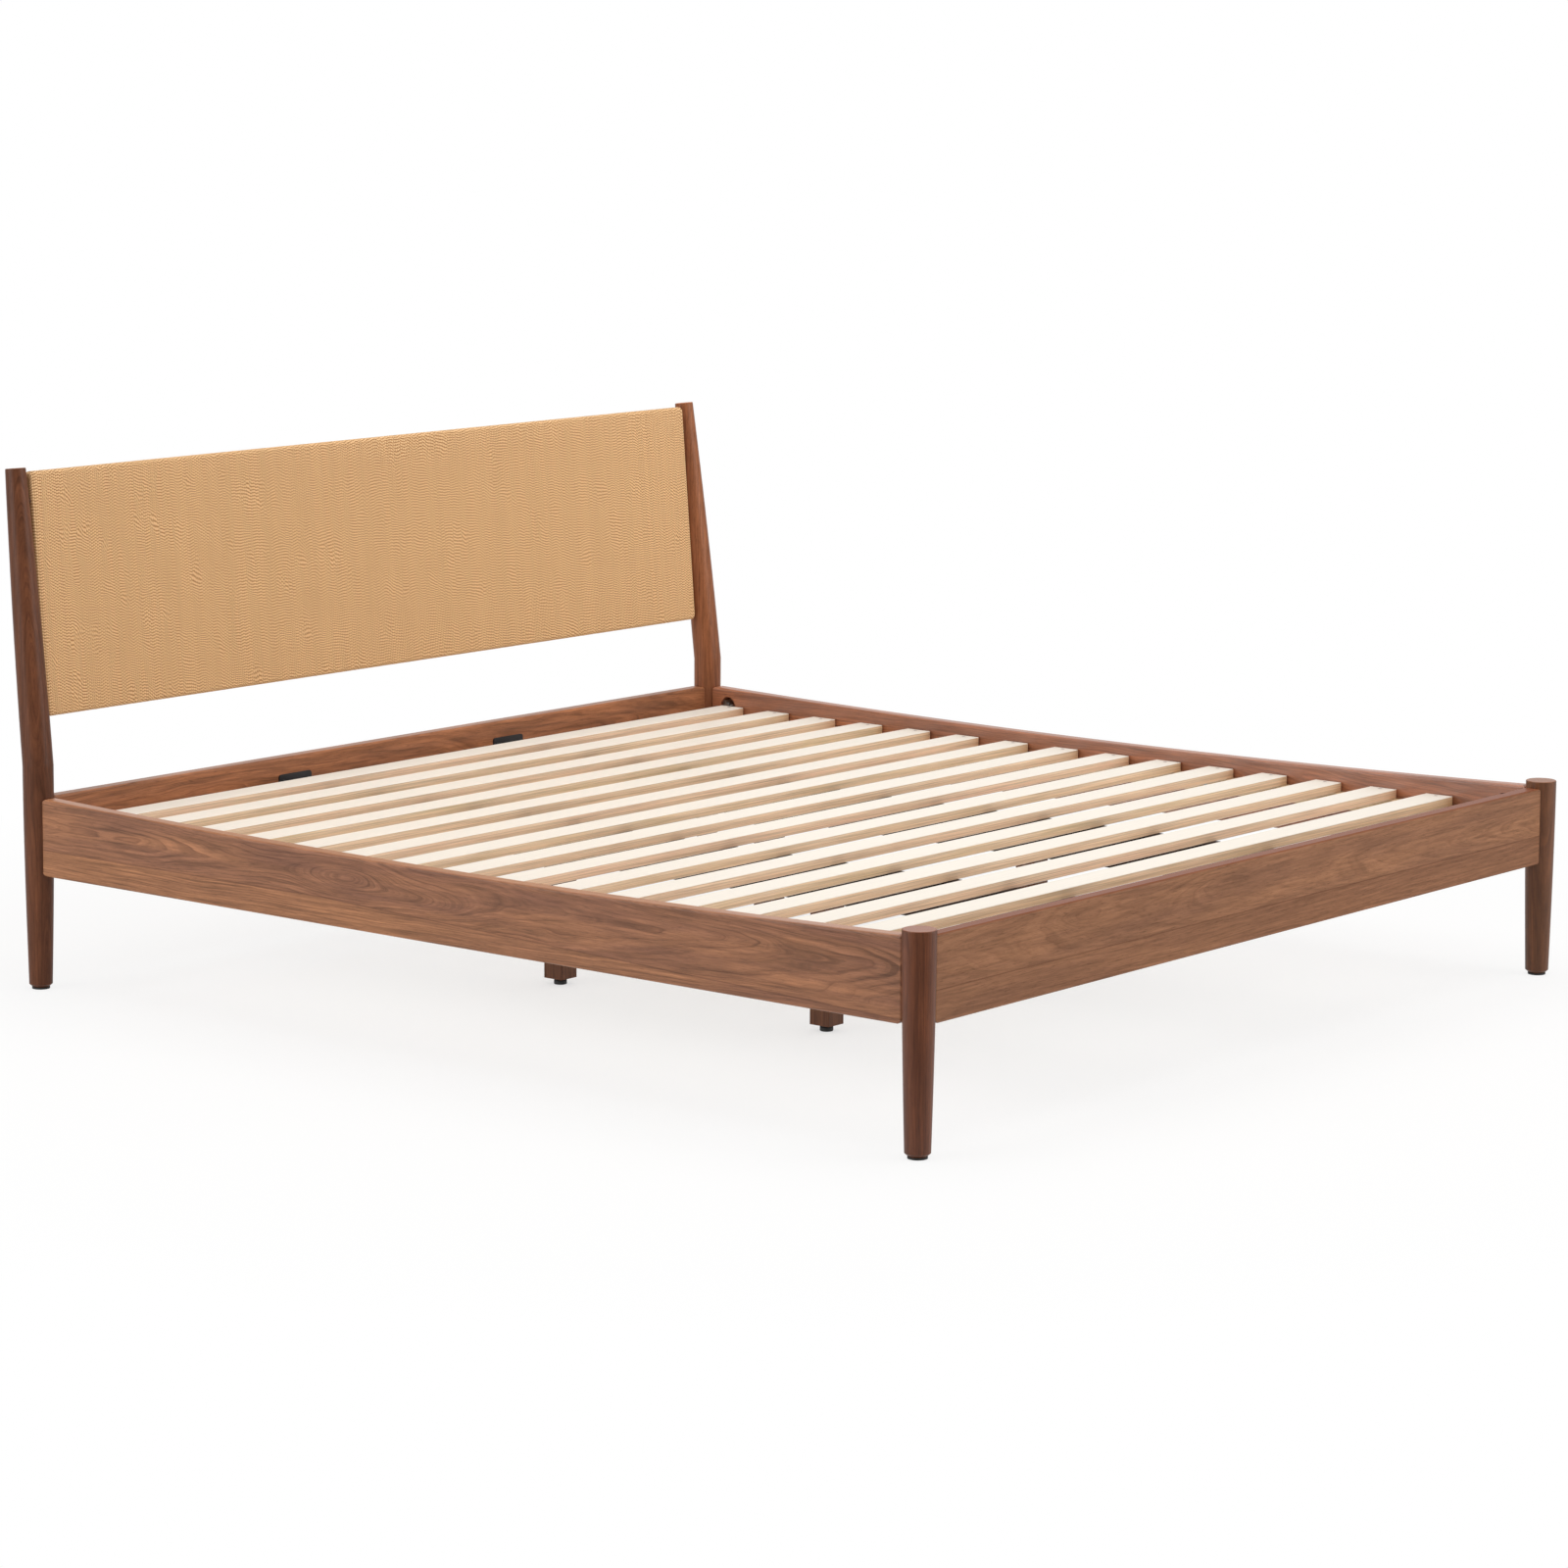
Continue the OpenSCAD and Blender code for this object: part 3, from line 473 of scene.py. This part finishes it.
def veneer_edge(tree, space, depth, streaks, number):
    layer = sums(tree, "DIVIDE", depth, VENEER)
    tone = node(tree, "TexWhiteNoise", {"W": sums(tree, "FLOOR", layer)}, noise_dimensions="1D")
    glue = ramp(tree, sums(tree, "FRACT", layer), [(0.0, 1.0), (0.10, 0.0), (1.0, 0.0)])
    edge = blend(tree, tone, colour(232, 196, 160), colour(248, 220, 188))
    edge = blend(tree, sums(tree, "MULTIPLY", glue, GLUE_SHARE), edge, colour(166, 122, 86))
    patch = ramp(tree, stretched(tree, space, (0.16, 0.2, 0.02)), [(0.35, 0.0), (0.65, 0.6)])
    pink = (number * EVEN_SPREAD) % 1
    edge = blend(tree, patch, edge, colour(226 + 10 * pink, 198 - 8 * pink, 152 + 10 * pink))
    return blend(tree, 0.8, edge, ramp(tree, streaks, [(0.28, 0.52), (0.62, 1.12)]), "MULTIPLY")


def pale_face(tree, space, streaks):
    count = rings(tree, space, (0.05, 0.11), (0.015, 0.01), 0.0075)
    season = season_ends(tree, count, [(0.0, 0.0), (0.7, 0.35), (0.92, 1.0), (1.0, 0.0)])
    face = blend(tree, sums(tree, "MULTIPLY", season, FACE_SEASON_SHARE),
                 colour(239, 231, 219), colour(229, 213, 190))
    return blend(tree, 0.30, face, ramp(tree, streaks, [(0.3, 0.84), (0.6, 1.0)]), "MULTIPLY")


print("one veneer is", round(1000 * VENEER, 2), "mm thick")

# %% [markdown]
# Each slat reads another stretch of the pattern, and its edge is a little pinker or yellower
# than its neighbour's. The depths at which the tan edge turns into the pale sheet leave a sheet
# of one millimetre on each side.

# %% Finish the slats
SLATS, NEXT_STRETCH = 16, 2.3
SLAT_FIBRE = (0.16, 0.0035, 0.0012)
WAVER = 0.0006
PALE_FROM, PALE_FULLY = 0.0081, 0.0085


def laminated(name, piece, number):
    tree, shader = finish(name, [bed[piece]])
    space = along_grain(tree, piece, "X")
    stretch = (NEXT_STRETCH * number, 0, 0)
    space = node(tree, "VectorMath", {0: space, 1: stretch}, operation="ADD")
    wavy = stretched(tree, space, (0.25, 0.05, 1.0))
    depth = node(tree, "SeparateXYZ", {0: space}, out=2)
    depth = sums(tree, "MULTIPLY_ADD", wavy, WAVER, depth)
    skin = sums(tree, "MULTIPLY", sums(tree, "ABSOLUTE", depth), 100.0)
    skin = ramp(tree, skin, [(100 * PALE_FROM, 0.0), (100 * PALE_FULLY, 1.0)])
    streaks = stretched(tree, space, SLAT_FIBRE, detail=4, rough=0.6)
    edge = veneer_edge(tree, space, depth, streaks, number)
    gloss = sums(tree, "MULTIPLY_ADD", streaks, 0.15, 0.42)
    join(tree, shader, blend(tree, skin, edge, pale_face(tree, space, streaks)), gloss, streaks,
         depth=0.0003)


for number in range(1, SLATS + 1):
    laminated(f"slat_face_{number:02d}", f"slat_{number:02d}", number)
print("slats finished:", SLATS)

# %% [markdown]
# ## Plain softwood underneath
# Battens, rail dowels and the headboard's inner frame are planed softwood, left bare. One flat
# colour would do while they are hidden, but they show when the bed is taken apart. The ring
# pattern is already there, so they get pale rings with orange season ends.

# %% Softwood finish
SOFTWOOD_LIGHT, SOFTWOOD_DARK = (226, 196, 154), (186, 144, 98)


def softwood(name, piece, direction, pith):
    tree, shader = finish(name, [bed[piece]])
    space = along_grain(tree, piece, direction)
    count = rings(tree, space, pith, (0.012, -0.010), 0.0042)
    season = season_ends(tree, count, [(0.0, 0.0), (0.6, 0.3), (0.9, 1.0), (1.0, 0.0)])
    drift = stretched(tree, space, (0.5, 0.05, 0.05))
    base = blend(tree, drift, colour(*SOFTWOOD_LIGHT), tinted(SOFTWOOD_LIGHT, 0.93))
    toned = blend(tree, sums(tree, "MULTIPLY", season, 0.7), base, colour(*SOFTWOOD_DARK))
    streaks = stretched(tree, space, (0.08, 0.0015, 0.0015), detail=4, rough=0.6)
    toned = blend(tree, 0.45, toned, ramp(tree, streaks, [(0.25, 0.7), (0.7, 1.0)]), "MULTIPLY")
    gloss = sums(tree, "MULTIPLY_ADD", streaks, 0.2, 0.5)
    join(tree, shader, toned, gloss, streaks, strength=0.3, depth=0.0003)


BARE = {
    "ledger_left": "Y", "ledger_right": "Y",
    "headboard_top_rail": "X", "headboard_bottom_rail": "X", "headboard_stile_left": "Z",
    "headboard_stile_right": "Z", "head_rail_dowels": "X", "foot_rail_dowels": "X",
}
for number, (name, direction) in enumerate(BARE.items()):
    softwood("softwood_" + name, name, direction, (0.045 + 0.004 * number, 0.03))
print("softwood pieces finished:", len(BARE))

# %% [markdown]
# ## Metal and plastic
# The hangers for the beams are steel with a black powder coat, which dries with the faint skin
# of an orange. A flat black would look like a hole, so a fine noise gives the skin and a broad
# one lets the gloss drift. `speckle` makes both.

# %% Black steel
def speckle(tree, scale, detail):
    """Even noise fixed to the piece, with spots 1 / scale metres wide."""
    return node(tree, "TexNoise", {"Vector": node(tree, "TexCoord", out=3), "Scale": scale,
                                   "Detail": detail})


def powder_coat(name, pieces):
    tree, shader = finish(name, pieces)
    cloud = speckle(tree, 18.0, 2.0)
    black = blend(tree, cloud, colour(24, 24, 26), colour(40, 40, 42))
    gloss = sums(tree, "MULTIPLY_ADD", cloud, 0.16, 0.36)
    join(tree, shader, black, gloss, speckle(tree, 700.0, 2.0), strength=0.3)


four = range(1, 5)
hangers = [bed[f"beam_bracket_{n}"] for n in four] + [bed["bracket_screws"]]
powder_coat("black_powder_coat", hangers)
print("black steel pieces:", len(hangers))

# %% [markdown]
# Feet and glides are black plastic, matt from a textured mould and scuffed a little lighter
# near the floor. The scuffs read the height, so they stay low on each foot however far it is
# screwed out, because Object coordinates move with the piece.

# %% Black plastic
def moulded_plastic(name, pieces):
    tree, shader = finish(name, pieces)
    grit, scuffs = speckle(tree, 1500.0, 2.0), speckle(tree, 160.0, 4.0)
    height = node(tree, "SeparateXYZ", {0: node(tree, "TexCoord", out=3)}, out=2)
    low = sums(tree, "MULTIPLY_ADD", height, -160.0, 0.9, clamp=True)
    scuffed = sums(tree, "MULTIPLY", low, ramp(tree, scuffs, [(0.5, 0.0), (0.7, 0.8)]))
    black = blend(tree, scuffed, colour(26, 25, 25), colour(74, 70, 66))
    join(tree, shader, black, sums(tree, "MULTIPLY_ADD", grit, 0.2, 0.42), grit)


feet = [bed[f"{kind}_{n}"] for kind in ("levelling_foot", "leg_glide") for n in four]
moulded_plastic("black_plastic", feet)
print("black plastic pieces:", len(feet))

# %% [markdown]
# Screws, bolts, nuts and washers are zinc plated: grey metal with small cloudy patches that
# differ in gloss. Metal has hardly any colour of its own, so the patches' roughness does more
# for it than their tone.

# %% Zinc plate
def zinc(name, pieces):
    tree, shader = finish(name, pieces)
    cloud = speckle(tree, 240.0, 3.0)
    grey = blend(tree, cloud, colour(150, 151, 153), colour(204, 203, 196))
    shader.inputs["Metallic"].default_value = 1.0
    join(tree, shader, grey, sums(tree, "MULTIPLY_ADD", cloud, 0.25, 0.22), cloud, strength=0.1)


fasteners = [bed[name] for name in (
    "rail_bolts", "rail_washers", "rail_nuts", "ledger_screws", "slat_screws",
    "support_leg_bolts", "leg_inserts")]
zinc("zinc_plate", fasteners)
print("zinc plate:", len(fasteners), "sets of fasteners")

# %% [markdown]
# ## The corded headboard cover
# The cover is one long paper cord wound up and down round the inner frame, turn beside turn.
# It could be made as hundreds of separate loops, but at a step away only their round backs
# show, so it is one skin: a rounded block, cut into four strips for each turn of cord, whose
# strips are lifted into a ridge. The twist of the cord is too fine for the mesh and comes from
# the material, which follows the cord through a UV map: u across the turns, v along the cord.

# %% Sizes of the cover
cover_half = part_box("rope_weave")[1][0]
cover_height, cover_thick, edge_round, corner_round = 0.4646, 0.024, 0.007, 0.010
cover_lean = math.radians(4.82)
cover_foot = Vector((0, 1.02698, 0.517))
TURNS, STRIPS = 380, 4
turn_width = 2 * cover_half / TURNS
print("cover", round(2 * cover_half, 4), "m wide, one turn", round(1000 * turn_width, 2), "mm")

# %% [markdown]
# The outline of the block, seen from its end, starts as a single square face. Bevelling its
# four corners rounds it, an extrude along x makes the block, and one call of subdivide cuts
# all its long edges at once.

# %% Make the block
cover = bmesh.new()
bmesh.ops.create_grid(cover, x_segments=1, y_segments=1, size=0.5)
bmesh.ops.scale(cover, vec=(cover_thick, cover_height, 1), verts=cover.verts)
bmesh.ops.bevel(cover, geom=cover.verts[:], offset=edge_round, affect="VERTICES", segments=5,
                profile=0.5, material=-1)
tall = [e for e in cover.edges if abs(e.verts[0].co.y - e.verts[1].co.y) > 0.1]
bmesh.ops.subdivide_edges(cover, edges=tall, cuts=9)
stand_up = Matrix(((0, 0, 1, 0), (1, 0, 0, 0), (0, 1, 0, 0), (0, 0, 0, 1)))
bmesh.ops.transform(cover, matrix=Matrix.Translation((-cover_half, 0, 0)) @ stand_up,
                    verts=cover.verts)
far_end = bmesh.ops.extrude_face_region(cover, geom=cover.faces[:])
far_end = [g for g in far_end["geom"] if isinstance(g, bmesh.types.BMVert)]
bmesh.ops.translate(cover, vec=(2 * cover_half, 0, 0), verts=far_end)
bmesh.ops.recalc_face_normals(cover, faces=cover.faces)
long_edges = [e for e in cover.edges if abs(e.verts[0].co.x - e.verts[1].co.x) > 1]
bmesh.ops.subdivide_edges(cover, edges=long_edges, cuts=STRIPS * TURNS - 1)
print("block cut into", len(cover.faces), "faces")

# %% [markdown]
# A pattern that runs along the cord needs to know, at every point, how much cord lies before
# it. The cord goes straight up the front, over the top and down the back, so that is the walk
# round the block's outline, and it is measured now, while the outline is still smooth. The walk
# starts in the middle of the underside, where nobody sees that the pattern begins and ends.

# %% Walk round the outline
def outline_spot(v):
    return round(v.co.y, 5), round(v.co.z, 5)


outline = sorted({outline_spot(v) for v in cover.verts},
                 key=lambda spot: math.atan2(-spot[0], -spot[1]) % math.tau)
walked = {outline[0]: 0.0}
for before, after in zip(outline, outline[1:]):
    walked[after] = walked[before] + math.dist(before, after)
girth = walked[outline[-1]] + math.dist(outline[-1], outline[0])
travel = {v: walked[outline_spot(v)] for v in cover.verts}
print("once round is", round(girth, 3), "m, so the panel takes", round(TURNS * girth), "m of cord")

# %% [markdown]
# Now the shape. Each point lies on a whole number of strips, which says what turn of cord it
# is on and how far across it. Counting in whole strips keeps a point between two turns with
# the same turn in every run. A half circle gives the ridge, and a small unevenness keeps it
# handmade: every turn is pulled a little tighter or looser than the next. At both ends of the
# panel the frame has round corners, so the last turns are drawn in. How much cord lies before
# each point is noted as well, to sort by at the end.

# %% Wind the cord
CORD_RIDGE, RIDGE_MEAN, SLACK = 0.0016, 0.75, 0.0003
half_height = cover_height / 2
straight_part = round(half_height - edge_round, 5)


def uneven(number):
    """A random-looking share from 0 to 1 for each turn of cord, the same in every run."""
    return (math.sin(number * 12.9898 + 4.1) * 43758.5453) % 1.0


cord_before = {}
for v in cover.verts:
    strip = round((v.co.x + cover_half) / turn_width * STRIPS)
    cord_before[v] = strip * girth + travel[v]
    x, (y, z) = strip * turn_width / STRIPS - cover_half, outline_spot(v)
    number, across = divmod(strip, STRIPS)
    ridge = math.sqrt(1 - (2 * across / STRIPS - 1) ** 2)
    lift = CORD_RIDGE * (ridge - RIDGE_MEAN) + SLACK * (uneven(number) - 0.5)
    if abs(z) <= straight_part:
        out = Vector((0, y / (cover_thick / 2), 0))
    else:
        out = Vector((0, y / cover_thick, math.copysign(1, z))).normalized()
    into = max(0.0, abs(x) - (cover_half - corner_round))
    drawn = corner_round - math.sqrt(max(0.0, corner_round ** 2 - into ** 2))
    y *= 1 - 0.5 * drawn / corner_round
    if abs(z) > half_height - 2 * edge_round:
        z -= math.copysign(drawn, z)
    v.co = Vector((x, y, z)) + out * lift
print("cord wound in", TURNS, "turns")

# %% [markdown]
# The block still stands upright round its own middle. Its UV map is written before it is
# leaned back, and then its place goes into the mesh, so the object stays at the origin. The
# faces that close the walk underneath have both its first and its last points. Taken as they
# are, they would squeeze the whole pattern into one face, so their last points count from
# before the start instead. Last, points and faces are sorted by how much cord lies before
# them: the operators don't promise an order, and sorted, the mesh is the same in every run.

# %% Place the cover on the posts
PATTERN_START = 0.76
follow = cover.loops.layers.uv.new("cord_run")
for face in cover.faces:
    start = min(travel[v] for v in face.verts)
    for loop in face.loops:
        run = travel[loop.vert]
        run -= girth if run - start > girth / 2 else 0.0
        loop[follow].uv = (loop.vert.co.x + cover_half, run + PATTERN_START)
    face.smooth = True
lean_back = (Matrix.Translation(cover_foot) @ Matrix.Rotation(-cover_lean, 4, "X")
             @ Matrix.Translation((0, cover_thick / 2, half_height)))
bmesh.ops.transform(cover, matrix=lean_back, verts=cover.verts)
cover.verts.sort(key=cord_before.get)
cover.verts.index_update()
points = len(cover.verts)
cover.faces.sort(key=lambda face: points * min(v.index for v in face.verts)
                 + max(v.index for v in face.verts))
skin = bpy.data.meshes.new("cord_cover")
cover.to_mesh(skin)
cover.free()
cord_cover = add_to_scene("cord_cover", skin)
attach(cord_cover, "bed_frame")
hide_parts("rope_weave")
print("cover has", sum(len(f.vertices) - 2 for f in skin.polygons), "triangles")

# %% [markdown]
# ## Twisted paper cord
# The cord is paper, twisted from strands, in the colour of straw. Where strands meet there is a
# groove; its shade is painted dark into the colour, and the backs of the strands get a painted
# highlight. Neighbouring turns nearly line up, so the grooves join into rows that wave and break
# up, which is what gives the panel its knitted look.
# The pattern reads the UV map: u counts the turns, v runs along the cord. A first step finds
# which turn a point is on and where it lies across it.

# %% Find the turn of cord
tree, shader = finish("paper_cord", [cord_cover])
run = node(tree, "UVMap", uv_map="cord_run")
u, v = node(tree, "SeparateXYZ", {0: run}, out=0), node(tree, "SeparateXYZ", {0: run}, out=1)
turns = sums(tree, "DIVIDE", u, turn_width)
across = sums(tree, "SUBTRACT", sums(tree, "FRACT", turns), 0.5)
own = node(tree, "TexWhiteNoise", {"W": sums(tree, "FLOOR", turns)}, noise_dimensions="1D")


def fabric_noise(along_u, along_v, detail):
    """Noise on the flat run of cord, with this many spots to a metre each way."""
    flat = node(tree, "CombineXYZ", {0: sums(tree, "MULTIPLY", u, along_u),
                                     1: sums(tree, "MULTIPLY", v, along_v)})
    return node(tree, "TexNoise", {"Vector": flat, "Scale": 1.0, "Detail": detail},
                noise_dimensions="2D")


print("cord is followed through", len(skin.uv_layers[0].data), "corners")

# %% [markdown]
# The phase says how many strands have passed at a point: it grows along the cord, and
# everything that shifts the grooves is added to it. A slow wave bends the rows, a zigzag gives
# them their herringbone, which is stronger at the left, and each turn has a start of its own.
# One groove lies at every whole number of the phase.

# %% Twist the strands
STRAND, ZIGZAG, EDGE_FALL = 0.0058, 0.024, -1.8
wave = fabric_noise(17.0, 7.0, 2.0)
swing = sums(tree, "MAXIMUM", sums(tree, "MULTIPLY_ADD", u, -1.8, 2.6), 0.7)
zigzag = sums(tree, "PINGPONG", sums(tree, "MULTIPLY_ADD", wave, 0.06, u), ZIGZAG)
zigzag = sums(tree, "DIVIDE", zigzag, ZIGZAG)
phase = sums(tree, "DIVIDE", v, STRAND)
for part, strength in ((wave, 5.5), (zigzag, swing), (own, 0.50), (across, 0.55)):
    phase = sums(tree, "MULTIPLY_ADD", part, strength, phase)
groove = sums(tree, "ABSOLUTE", sums(tree, "SINE", sums(tree, "MULTIPLY", phase, math.pi)))
strand = sums(tree, "POWER", groove, 0.95)
# Height falls at the sides of each turn: relief, and through the colour a painted shade between
# the turns.
rounding = sums(tree, "MULTIPLY", across, across)
rounding = sums(tree, "MULTIPLY_ADD", rounding, EDGE_FALL, 1.0)
height = sums(tree, "MULTIPLY", strand, rounding)
print("a strand shows every", round(1000 * STRAND, 1), "mm along the cord")

# %% [markdown]
# Height gives both the colour and the relief: painted shade in the grooves and at the sides of
# each turn, a painted highlight of straw on the strands' backs. Fine paper fibres lie over it, and
# each turn is a touch lighter or darker than the next.

# %% Colour the cord
# The ramp paints the shade of the grooves and the highlight of the strands' backs into the colour.
groove_shade_and_tone = ramp(tree, height, [(0.0, colour(122, 78, 44)), (0.28, colour(186, 136, 88)),
                           (0.58, colour(226, 179, 128)), (1.0, colour(246, 209, 160))])
tone = sums(tree, "MULTIPLY_ADD", own, 0.06, 0.98)
groove_shade_and_tone = blend(tree, 1.0, groove_shade_and_tone, node(tree, "CombineColor", {0: tone, 1: tone, 2: tone}), "MULTIPLY")
fibres = fabric_noise(2600.0, 900.0, 3.0)
groove_shade_and_tone = blend(tree, 0.4, groove_shade_and_tone, ramp(tree, fibres, [(0.25, 0.72), (0.7, 1.0)]), "MULTIPLY")
join(tree, shader, groove_shade_and_tone, sums(tree, "MULTIPLY_ADD", fibres, 0.15, 0.68),
     sums(tree, "MULTIPLY_ADD", fibres, 0.15, height), strength=0.6, depth=0.0008)
shader.inputs["Specular IOR Level"].default_value = 0.3
print("cord finished with", len(tree.nodes), "nodes")

# %% [markdown]
# ## Studio
# The photograph has a white sweep with a faint soft shadow. The floor is pale and matt, and
# camera rays see it partly as plain white, fading to pure white away from the bed, so the
# horizon disappears while the shadow stays. Pieces that mirror the floor see it lighter beyond
# the bed and dim on the camera's side, as they do the room. Extra lamps could whiten it too,
# but they would bleach the bed as well.

# %% Floor
sweep = bmesh.new()
bmesh.ops.create_circle(sweep, cap_ends=True, radius=30, segments=64)
ground = bpy.data.meshes.new("studio_floor")
sweep.to_mesh(ground)
sweep.free()
floor = add_to_scene("studio_floor", ground)

AWAY = (0.78, 0.63, 0.0)
tree, shader = finish("studio_white", [floor])
shader.inputs["Base Color"].default_value = colour(244, 242, 240)
shader.inputs["Roughness"].default_value = 0.9
shader.inputs["Specular IOR Level"].default_value = 0.0
spot = node(tree, "TexCoord", out=3)
far = node(tree, "VectorMath", {0: spot}, out=1, operation="LENGTH")
fade = ramp(tree, sums(tree, "MULTIPLY", far, 0.1), [(0.02, 0.58), (0.07, 0.70), (0.25, 1.0)])
beyond = node(tree, "VectorMath", {0: spot, 1: AWAY}, out=1, operation="DOT_PRODUCT")
beyond = ramp(tree, sums(tree, "MULTIPLY_ADD", beyond, 0.1, 0.5),
              [(0.28, 0.10), (0.36, 0.65)], "EASE")
path = tree.nodes.new("ShaderNodeLightPath")
seen, mirrored = path.outputs["Is Camera Ray"], path.outputs["Is Glossy Ray"]
share = sums(tree, "MAXIMUM", sums(tree, "MULTIPLY", fade, seen), mirrored)
glow = node(tree, "Emission", {0: (1, 1, 1, 1),
                               1: sums(tree, "MULTIPLY_ADD", mirrored, beyond, seen)})
paper = node(tree, "MixShader", {0: share, 1: shader.outputs[0], 2: glow})
tree.links.new(paper, tree.nodes["Material Output"].inputs[0])
print("floor laid, 60 m across")

# %% [markdown]
# Light comes from one very large soft box overhead, a large one at the left of the bed and
# another beyond its foot end, and the white room itself. One bright lamp would be simpler, but
# it would draw hard shadows between the slats; large boxes keep every shadow soft.

# %% Soft boxes
def soft_box(name, place, aim, size, power):
    light = bpy.data.lights.new(name, "AREA")
    light.shape, light.size, light.size_y, light.energy = "RECTANGLE", size[0], size[1], power
    lamp = add_to_scene(name, light)
    lamp.location = place
    lamp.rotation_euler = (Vector(aim) - Vector(place)).to_track_quat("-Z", "Y").to_euler()
    print(name, "at", place, "with", power, "W")


soft_box("overhead", (0.1, -0.2, 3.6), (0, 0, 0.2), (4.5, 4.5), 104)
soft_box("left_wall", (-6.5, 2.8, 2.2), (0, 0, 0.4), (5.0, 3.5), 185)
soft_box("right_wall", (3.2, -6.2, 2.2), (0.0, 0, 0.4), (5.0, 3.5), 165)

# %% [markdown]
# The world does three jobs, told apart by the kind of ray that asks. The camera sees pure
# white. Polished pieces mirror a room that is dim on the camera's side, which keeps the middle
# of each round leg deep, and white on the far side, which its edges catch. Everything else is
# lit by an even, weaker white, so that colours come out about as they are written.

# %% White room
ROOM_LIGHT = 0.45
world = bpy.data.worlds.new("white_room")
bpy.context.scene.world = world
world.use_nodes = True
tree = world.node_tree
room = tree.nodes["Background"]
room.inputs[0].default_value = (1, 1, 1, 1)
way = node(tree, "TexCoord", out=0)
back = node(tree, "VectorMath", {0: way, 1: AWAY}, out=1, operation="DOT_PRODUCT")
bright = ramp(tree, sums(tree, "MULTIPLY_ADD", back, 0.5, 0.5),
              [(0.15, 0.12), (0.70, 0.38), (1.0, 1.0)])
path = tree.nodes.new("ShaderNodeLightPath")
seen = path.outputs["Is Camera Ray"]
mirrored = sums(tree, "MAXIMUM", path.outputs["Is Glossy Ray"],
                path.outputs["Is Transmission Ray"])
shown = sums(tree, "MAXIMUM", seen, sums(tree, "MULTIPLY", bright, mirrored))
others = sums(tree, "SUBTRACT", 1.0, sums(tree, "MAXIMUM", seen, mirrored))
tree.links.new(sums(tree, "MULTIPLY_ADD", others, ROOM_LIGHT, shown), room.inputs[1])
bpy.context.scene.view_settings.view_transform = "Standard"
print("room lights the bed at a level of", ROOM_LIGHT)

# %% [markdown]
# ## Update the scene
# The last step updates the view layer.

# %% Update the view layer
bpy.context.view_layer.update()
